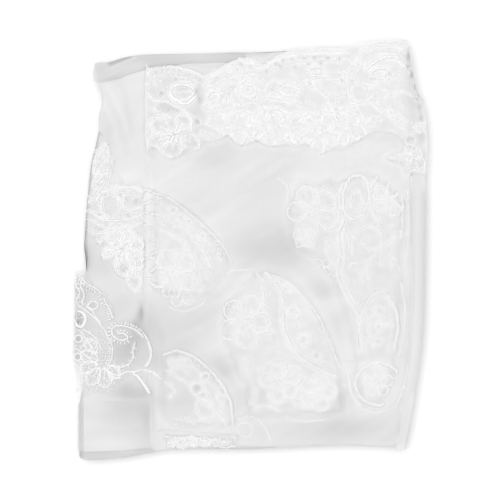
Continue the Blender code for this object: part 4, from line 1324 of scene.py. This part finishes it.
innerCloth = {
    **plainLace, "thread": softThread, "cell": 2.2, "level": 11.2, "rippleHeight": 0.1,
    "rippleSize": 18.0, "loose": 0.4, "flat": 0.35, "fade": 8.0, "denseCover": 0.8, "cover": {},
    "look": {
        **laceLook, "colour": grey(0.94), "holeAlpha": 0.44, "threadAlpha": 0.7, "holeDark": 0.0,
        "grain": 16,
    },
}
innerLaces = {
    "innerLeft": {
        "node": "lace_inner_left", "seed": 7.3,
        "scallops": [
            ([(-84, 50), (-70, 46), (-56, 36), (-44, 26), (-30, 13), (-20, 1),
              (-14.5, -11)], 8.0, 1, 2.8),
        ],
        "patches": [
            (-74, 41, 8, 4, -20), (-72, 24, 11, 5, -24), (-55, 22, 9, 5, -40),
            (-42, 10, 9, 6, -48), (-30, -4, 8, 6, -50), (-40, -14, 9, 6, -50),
            (-58, 8, 10, 4, -38), (-80, 8, 5, 6, 80), (-24, -10, 6, 5, -50), (-54, -8, 6, 4, -30),
        ],
        "runs": [
            ([(-84, 31), (-68, 27), (-52, 15), (-40, 0), (-33, -14)], 2.6),
            ([(-84, 18), (-70, 15), (-56, 5), (-47, -10)], 2.4),
            ([(-84, -4), (-76, 0), (-70, 8)], 2.4),
        ],
        "eyelets": [
            (-65, 34, 3.0, 3.0, 0, 2.6), (-52, 24, 2.8, 2.8, 0, 2.6), (-59, 28, 2.4, 2.4, 0, 2.4),
            (-40, 12, 2.6, 2.6, 0, 2.4),
        ],
        "blooms": [(-65, -20, 21, 46, 3.4, 2)],
        "leaves": [(-50, -14, -34, -24, 10), (-48, -26, -40, -36, 8)],
    },
    "innerCorner": {
        "node": "lace_inner_corner", "seed": 8.3,
        "scallops": [
            ([(-73.5, -87.5), (-62, -84.5), (-50, -88), (-36, -98), (-24, -112), (-15.5, -128),
              (-13, -146)], 8.5, 1, 4.0),
        ],
        "patches": [
            (-66, -96, 6, 3, -20), (-46, -98, 6, 4, -40), (-32, -112, 7, 3, -52),
            (-26, -122, 6, 3, -58), (-22, -134, 6, 3, -70), (-36, -134, 7, 4, -60),
            (-40, -146, 10, 5, -10), (-58, -146, 10, 4, 0), (-28, -146, 8, 4, 0),
        ],
        "eyelets": [
            (-38, -108, 3.4, 3.4, 0, 2.4), (-53, -96, 3.2, 3.2, 0, 2.4),
            (-24, -126, 3.2, 2.6, 0, 2.2), (-45, -118, 5.2, 5.2, 0, 2.4),
            (-40, -123, 3.2, 3.2, 0, 2.2),
        ],
        "runs": [
            ([(-72, -102), (-64, -106), (-56, -111), (-50, -116)], 2.4),
            ([(-72, -112), (-66, -116), (-64, -122), (-69, -126)], 3.0),
            ([(-40, -128), (-34, -131), (-26, -140), (-20, -150)], 2.6),
            ([(-46, -124), (-40, -120), (-34, -128), (-26, -136)], 2.4),
        ],
        "ovals": [(-38, -136, 7, 9, 30, 1.8, 2.8)],
        "leaves": [(-60, -92, -54, -104, 8), (-60, -100, -70, -94, 7)],
    },
    "innerCentre": {
        "node": "lace_inner_centre", "seed": 9.3, "cover": {"spots": [(40, -74, 14, 40, 0.3)]},
        "blooms": [
            (-5, -61, 22, 64, 3.4, 2), (27, -113, 17, 30, 3.0, 1), (58, -121, 16, 70, 3.0, 1),
        ],
        "patches": [
            (14, -32, 8, 5, -40), (2, -40, 8, 4, 10), (20, -78, 6, 10, 0), (22, -92, 8, 5, 60),
            (34, -102, 8, 5, -30), (40, -58, 4, 9, 20), (52, -78, 5, 10, 20), (62, -96, 6, 8, 30),
            (48, -92, 5, 8, 20), (-18, -48, 6, 5, -40), (44, -132, 10, 4, 0), (74, -112, 5, 8, 80),
        ],
        "runs": [
            ([(-16, -22), (-6, -19), (4, -20), (12, -26)], 3.4),
            ([(13, -20), (26, -24), (38, -32), (49, -44), (59, -58), (67, -76), (76, -100)], 2.8),
            ([(13, -20), (24, -32), (28, -46), (28, -62), (34, -80), (46, -94), (64, -104),
              (74, -108)], 4.2),
            ([(10, -30), (14, -52), (16, -70)], 2.6), ([(2, -136), (14, -132), (26, -138)], 2.6),
        ],
        "teeth": [
            ([(15, -22), (26, -26), (37, -34), (48, -46), (58, -60), (66, -78),
              (74, -100)], -1, 3.4, 2.4, 1.3),
        ],
        "eyelets": [
            (36, -52, 3.0, 3.0, 0, 2.6), (46, -76, 3.4, 3.6, 0, 2.8), (57, -90, 3.0, 3.0, 0, 2.6),
            (30, -33, 2.4, 2.4, 0, 2.2),
        ],
        "leaves": [(-2, -92, -6, -110, 10), (8, -100, 16, -110, 8), (4, -118, 0, -132, 8)],
    },
    "innerRight": {
        "node": "lace_inner_right", "seed": 10.3,
        "blooms": [
            (54, 33, 22, 45, 3.4, 1), (119, 43, 15, 70, 3.0, 1), (46, 11, 9, 20, 2.4, 1),
            (62, -15, 8, 50, 2.4, 1), (109, -113, 12, 90, 2.6, 1),
        ],
        "patches": [
            (104, 56, 8, 5, 20), (112, 24, 8, 5, 30), (124, 18, 6, 5, 60), (82, 12, 5, 9, 70),
            (82, -4, 5, 8, 90), (92, 4, 4, 7, 90), (84, -26, 5, 8, 90), (96, -30, 5, 7, 60),
            (106, -42, 6, 5, 20), (114, -62, 5, 10, 80), (102, -78, 6, 5, 40),
            (122, -60, 4, 9, 90), (120, -84, 5, 6, 90), (94, -88, 5, 5, 0), (126, 4, 4, 8, 90),
        ],
        "satins": [
            (ovalKnots(90, 45, 11, 19, -8), 4.6, 1.0, True),
            (ovalKnots(109, -114, 19.5, 18), 4.6, 1.0, True),
        ],
        "ovals": [(90, 42, 4.2, 9, -8, 0, 2.4)],
        "teeth": [
            ([(77, 26), (72, 12), (73, -4), (71, -18), (77, -36), (87, -52),
              (93, -62)], -1, 3.4, 2.4, 1.3),
            ([(98, -88), (95, -66), (101, -48), (110, -39), (119, -46), (123, -64),
              (119, -86)], -1, 3.0, 2.4, 1.3),
        ],
        "runs": [
            ([(86, -2), (88, 12), (97, 20), (108, 18), (113, 9), (109, 1), (101, 0), (97, 6),
              (101, 11)], 3.2),
            ([(82, 24), (79, 10), (81, -6), (79, -20), (86, -38), (96, -54)], 2.4),
            ([(108, 62), (102, 48), (104, 34), (110, 24)], 3.0),
            ([(80, 26), (75, 12), (76, -4), (74, -18), (80, -36), (90, -52), (96, -62)], 3.8),
            ([(96, -88), (93, -66), (99, -46), (110, -36), (121, -44), (126, -64),
              (122, -86)], 4.2),
            ([(104, -84), (101, -66), (106, -52), (113, -48)], 2.6),
            ([(112, 0), (122, -6), (128, -20)], 3.0), ([(108, -4), (100, -14), (102, -26)], 2.8),
            ([(80, 60), (76, 44), (78, 30)], 3.2), ([(129, 56), (130, 30), (128, 10)], 3.4),
        ],
        "bars": [([(100, -76), (99, -62), (104, -50)], [(118, -76), (119, -62), (116, -50)], 6.0)],
        "eyelets": [
            (110, -52, 3.0, 3.0, 0, 2.6), (110, -65, 3.0, 3.0, 0, 2.6),
            (109, -78, 2.8, 2.8, 0, 2.6), (109, -113, 6.0, 5.0, 0, 2.6),
            (88, -14, 2.4, 2.4, 0, 2.4), (122, 32, 2.2, 2.2, 0, 2.0),
        ],
        "leaves": [
            (124, 12, 112, -14, 9), (104, -8, 94, -26, 9), (62, 54, 72, 60, 6),
            (120, -8, 128, -26, 8), (66, 8, 72, -10, 7),
        ],
    },
}
innerStitches = []
for name, lace in innerLaces.items():
    lace = {**innerCloth, **lace}
    innerStitches.append(layLace(name, lace, flatHeight(lace)))
innerStitches = np.concatenate(innerStitches)


# the upper panel: two layers of tulle, pressed over the lace inside

upperPanel = {
    "node": "tulle_upper_panel", "material": "upperTulle", "slot": "tulle", "step": 2.4,
    "inset": 1.1, "flapEdgeLight": (1.2, 2.0, 0.05), "flapCover": (2.0, 3.0, 0.7), "cell": 2.4,
    "level": 12.2, "lift": 0.5, "press": 0.15, "roll": 0.6, "seed": 11.0, "rippleHeight": 0.2,
    "rippleSize": 24.0, "sink": 0.8, "blend": 14.0, "sinkWidth": 10.0,
    "sinkLine": [(136.4, 64), (136.4, -40), (134, -90), (125.6, -150), (122, -166)],
    "look": {
        **tulleLook, "colour": grey(0.93), "holeAlpha": 0.16, "threadAlpha": 0.66,
        "holeDark": 0.02, "grain": 24, "covered": True,
    },
    "cover": {"clouds": [(30, 2.2, 35, 0.5, 1.0), (6, 6.0, 28, 0.35, 4.0)]}, "fade": 12.0,
    "fadeLine": [(-90, 82), (-90, -40), (-88, -60), (-82.5, -76), (-80.5, -100), (-81.5, -150)],
    "clouds": [(30, 2.2, 25, 0.06, 7.0), (6, 6.0, 32, 0.045, 2.0)],
    "creases": [
        ([(-60, 80), (-20, 62), (30, 70), (90, 58)], 5.0, 0.2),
        ([(-84, 70), (-60, 54), (-30, 44)], 4.0, 0.25),
    ],
    # the light spots just below the flap, at (110, 82), (102, 62) and (-34, 92), are painted light
    # against the flap's shadow
    "spots": [
        (16, -2, 26, 14, -0.04), (-55, 12, 30, 24, 0.05), (-80, -66, 12, 16, -0.05),
        (110, 82, 24, 12, 0.1), (-34, 92, 12, 8, 0.08), (34, 60, 30, 10, 0.05),
        (102, 62, 26, 8, 0.07), (-84, 30, 8, 24, 0.05),
    ],
}
innerLoops = [planEdge(lace["node"], 3.0) for lace in innerLaces.values()]
flapEdge = planEdge("lace_top_flap", 4.0)
# painted light: along the flap's edge the panel is made denser and lighter, against the shadow the
# flap casts on it
upperPanel["cover"]["bands"] = [(flapEdge + flapEdge[:1], *upperPanel["flapCover"])]
upperPanel["bands"] = [(flapEdge + flapEdge[:1], *upperPanel["flapEdgeLight"])]


def upperHeight(x, y):
    # pressed over the lace inside, and lower along its right-hand side
    lift = np.zeros(x.shape)
    for loop in innerLoops:
        dist, _ = lineDistance(x, y, loop, closed=True)
        outside = np.where(insideOf(x, y, loop), 0.0, dist)
        share = 1.0 - np.clip(outside / upperPanel["blend"], 0, 1)
        lift = np.maximum(lift, share * share * (3 - 2 * share))
    side, _ = lineDistance(x, y, upperPanel["sinkLine"])
    return (upperPanel["level"] + upperPanel["lift"] * lift - sinkOf(upperPanel, side)
            + upperPanel["press"] * stitchDensity(innerStitches, x, y))


layCloth("upperPanel", upperPanel, edgeOf(upperPanel), upperHeight)
print("upper panel")


# the lace flap across the top

flapLace = {
    **plainLace, "node": "lace_top_flap", "cell": 1.3, "seed": 12.5, "level": 13.1, "gap": 0.1,
    "loftSize": 20.0, "loftHeight": 0.15, "edgeWidth": 9.0, "loose": 0.3,
    "fills": [(-38, 152, 100, 180, 3.0, 3.0, 1.4, 0, 0.06, 2.0)], "flat": 0.6,
    "threadTones": {"bands": [([(8, 132), (160, 132)], 44, 6, -0.03)]},
    "bands": [([(10, 132), (160, 132)], 42, 8, -0.045)],
    "clouds": [(8, 1.5, 10, 0.04, 3.0), (4, 1.0, 0, 0.03, 8.0)],
    # openings left free of stitches, each painted dark as the shadow in the gap
    "slots": [
        (-46, 134, 1.3, 3.2, -0.3), (-43, 128, 1.3, 2.8, -0.25), (-68, 120, 8, 3, -0.2),
        (-74, 123, 4, 2, -0.18), (134.8, 165, 1.6, 4.2, -0.28), (134, 156, 2.6, 1.2, -0.25),
        (137.5, 149, 1.4, 3.0, -0.25), (140.8, 139, 1.2, 3.2, -0.25), (144, 121, 1.2, 3, -0.2),
        (145.5, 112, 1.3, 2.6, -0.2), (136.5, 91, 2.6, 4, -0.16),
    ],
    "cover": {"bands": [([(8, 132), (150, 132)], 40, 12, 0.6)]}, "denseCover": 0.6,
    "denseShade": 0.03,
    "look": {
        **tulleLook, "colour": grey(0.895), "pitch": 0.0016, "holeAlpha": 0.44, "threadAlpha": 0.9,
        "hole": 0.38, "holeDark": 0.02, "grain": 30, "covered": True,
    },
    # the darker spots in the gaps between its motifs and along its right side are painted shade of
    # the layers seen through; the last one is lighter
    "spots": [
        (-62, 98, 9, 7, -0.04), (-57, 134, 6, 3.5, -0.08), (-67, 88, 6, 5, -0.06),
        (-47, 90, 4, 5, -0.06), (-46, 118, 6, 4, -0.05), (136, 92, 5, 5, -0.1),
        (146, 97, 3, 5, -0.12), (141, 77, 5, 6, -0.08), (147, 74, 3, 7, -0.1),
        (140, 140, 8, 40, -0.1), (139, 84, 12, 14, -0.05), (-64, 125, 22, 26, 0.035),
    ],
    "patches": [
        (-86, 140, 3, 9, 90), (-86, 122, 3, 9, 90), (-85, 104, 4, 10, 90), (-80, 146, 6, 3, 0),
        (-68, 138, 5, 3, 40), (-80, 116, 5, 3, 20), (-56, 104, 4, 5, 60), (-30, 142, 6, 4, 20),
        (-22, 148, 7, 3, 20), (-24, 128, 5, 4, 40), (-34, 128, 4, 3, 0), (-12, 146, 8, 3, 0),
        (6, 148, 7, 3, -20), (10, 136, 5, 4, 50), (-18, 118, 6, 3, 10), (2, 118, 6, 3, 0),
        (20, 128, 6, 3, 10), (24, 142, 7, 3, 0), (44, 128, 6, 3, -20), (46, 146, 7, 3, 5),
        (60, 140, 6, 3, -30), (64, 154, 9, 3, 0), (80, 152, 5, 3, 0), (80, 134, 5, 4, 60),
        (60, 120, 6, 3, 0), (92, 142, 4, 5, 80), (100, 160, 6, 3, 50), (114, 170, 8, 2.5, 0),
        (116, 156, 8, 3, 10), (126, 168, 4, 3, 0), (128, 146, 5, 5, 0), (120, 138, 6, 3, 0),
        (104, 132, 6, 3, 10), (128, 124, 6, 3, -30), (92, 112, 5, 3, 0), (140, 69, 6, 2, 0),
        (34, 112, 5, 3, 0), (72, 112, 5, 3, 0),
    ],
    "scallops": [
        ([(-88, 150), (-84, 155.5), (-76, 157), (-66, 157), (-58, 155.5), (-50, 153.5), (-44, 151),
          (-39.5, 148)], 8.0, 1, 2.0),
        ([(-38, 147), (-33, 150), (-27, 153), (-22, 157.5), (-16, 162.5), (-11, 164.5),
          (-4, 162.5), (4, 158.5), (10, 156)], 7.0, 1, 2.4),
        ([(12, 158), (17, 162), (25, 165), (34, 168), (44, 169.5), (58, 170), (70, 170),
          (84, 170)], 9.0, 1, 2.4),
        ([(87, 152), (89, 160), (94, 168), (104, 174), (116, 176), (126, 174.5),
          (131, 170)], 7.0, 1, 2.8),
    ],
    "satins": [
        ([(-88, 150), (-88.2, 138), (-88.3, 118), (-88.2, 92)], 1.5),
        ([(-67, 131.5), (-62, 126.5), (-56, 124.5), (-51, 126), (-46, 130.5)], 4.0),
        ([(98, 152), (104, 158), (112, 162.5), (120, 164), (127, 162.5), (132, 156)], 3.6),
        ([(131, 67), (139, 66.5), (148, 66)], 1.3),
    ],
    "curls": [
        ([(-38, 124), (-34, 119), (-30, 119), (-27, 113)], -1, 2.6, 2.2),
        ([(50, 140), (62, 134), (70, 124), (73, 112)], 1, 2.8, 2.2),
        ([(86, 140), (84, 148), (87, 156)], -1, 2.6, 2.2),
        ([(-8, 124), (0, 127), (8, 124), (12, 117)], 1, 2.4, 2.0),
        ([(-20, 132), (-14, 124), (-4, 121)], -1, 2.4, 2.0),
    ],
    "ovals": [
        (-58, 134, 10, 6.5, 6, 1.8, 2.8), (-17, 155, 4.4, 4.4, 0, 1.6, 2.6),
        (-2, 136, 8.5, 7.5, 0, 2.2, 2.0), (-2, 136, 4.5, 4.0, 0, 1.6, 1.6),
        (33, 136, 10.5, 6, -6, 2.2, 2.0), (33, 136, 6, 2.6, -6, 1.2, 1.6),
        (145, 104, 3.6, 4.0, 0, 1.4, 2.2), (56, 152, 6, 3.6, 10, 1.4, 2.4),
        (-30, 130, 6, 5, 20, 1.8, 2.6), (22, 116, 6, 4.4, 0, 1.8, 2.4),
        (110, 150, 7, 4.4, 14, 1.6, 2.6),
    ],
    "eyelets": [
        (-75, 133, 3.2, 2.6, 20, 1.4), (-78, 142, 2.0), (-45, 109, 3.4, 3.0, 0, 1.5),
        (-80, 151, 1.6), (-75, 152.5, 1.6), (-70, 153.4, 1.6), (-65, 153.4, 1.6),
        (-60, 152.8, 1.6), (-72, 149.5, 1.6), (-66, 149.6, 1.6), (-61, 148.8, 1.6),
        (-56, 148.4, 1.6), (-51, 148.6, 1.7), (-46, 147.2, 1.7), (-63, 145, 1.6),
        (-57, 144.6, 1.6), (-52, 144.8, 1.6), (-47, 143, 1.6), (-43, 144, 1.5), (22, 158, 2.0),
        (28, 161, 2.0), (26, 156, 1.8), (36, 162, 2.2), (46, 163, 2.0), (55, 163, 2.2),
        (66, 163, 2.2), (76, 163, 2.0), (38, 156, 1.8), (60, 159, 1.8), (-8, 158, 1.8),
        (0, 156, 1.8), (-12, 154, 1.6), (-28, 146, 1.8), (104, 146, 2.0), (118, 150, 2.0),
        (14, 152, 1.8), (78, 144, 2.0), (142, 128, 2.0), (50, 158, 1.6),
    ],
    "beads": [([(50, 150), (62, 150), (76, 149), (85, 150)], 2.2, 1.4)],
    "runs": [
        ([(-66, 138), (-60, 142.5), (-52, 142.5), (-46, 139)], 2.0),
        ([(-66, 134), (-58, 134), (-50, 135)], 1.8),
        ([(-86, 132), (-80, 127), (-70, 126), (-64, 122), (-58, 120), (-53, 116), (-50, 110),
          (-50, 102)], 2.4),
        ([(-84, 120), (-76, 117), (-66, 112)], 2.0), ([(-40, 140), (-30, 136), (-18, 130)], 2.2),
        ([(12, 128), (24, 128), (36, 126), (46, 120), (54, 112)], 2.2),
        ([(-40, 108), (-30, 104), (-22, 102)], 2.0),
        ([(46, 142), (56, 146), (68, 146), (80, 142)], 2.0),
        ([(76, 118), (86, 124), (96, 125), (104, 126), (112, 118), (125, 113), (134, 108)], 2.4),
        ([(92, 118), (86, 130), (85, 142)], 2.2),
        ([(96, 140), (104, 138), (114, 142), (122, 148)], 2.0),
        ([(-20, 148), (-10, 150), (2, 148), (12, 142)], 2.0),
        ([(120, 132), (130, 134), (138, 130)], 2.0), ([(116, 86), (124, 82), (132, 82)], 1.8),
    ],
    "bars": [([(-78, 126), (-70, 122), (-62, 117)], [(-75, 119), (-68, 116), (-60, 113)], 3.0)],
    "petals": [
        (-67, 100, 152, 20, 15, 2.8), (-60, 101, 66, 16, 14, 2.8), (-58, 96, 328, 17, 15, 2.8),
        (-64, 93.5, 258, 16, 18, 2.8), (-68, 96, 197, 20, 13, 2.8), (141, 92, 158, 11, 10, 2.2),
        (139, 89, 215, 9, 8, 2.0), (142, 86, 268, 9, 9, 2.2), (137, 82, 232, 13, 9, 2.0),
        (143, 80, 285, 12, 8, 2.0),
    ],
    "pistils": [(-64, 98, 7.5, 10, 7, 2.2), (139, 89, 4.0, 20, 5, 1.6)],
    "blooms": [
        (-10, 104, 15, -90, 1.8, 5), (16, 104, 17, -90, 1.8, 5), (36, 104, 13, -80, 1.8, 4),
        (59, 100, 19, -90, 1.8, 6), (82, 104, 15, -100, 1.8, 5),
    ],
    "leaves": [
        (-42, 100, -28, 95, 6), (88, 108, 97, 97, 5), (119, 118, 131, 104, 7),
        (136, 76, 116, 79.5, 5.5), (-24, 114, -36, 108, 7), (104, 128, 116, 134, 7),
        (-26, 134, -12, 140, 7), (14, 134, 22, 142, 6), (66, 128, 78, 132, 6),
        (100, 106, 110, 112, 6),
    ],
    "seeds": [(138, 146, 4, 12, 0, 14), (142, 118, 4, 8, 0, 8), (0, 112, 8, 4, 0, 14)],
}


def flapHeight(x, y):
    # its edges lie down on the panel
    dist, _ = lineDistance(x, y, flapEdge, closed=True)
    share = np.clip(dist / flapLace["edgeWidth"], 0.0, 1.0)
    loft = flapLace["level"] + ripple(x, y, flapLace["loftSize"], flapLace["loftHeight"],
                                      flapLace["seed"])
    low = clothLevel(upperPanel, upperHeight, x, y) + flapLace["gap"]
    return low + (np.maximum(loft, low) - low) * share * (2.0 - share)


layLace("flapLace", flapLace, flapHeight)
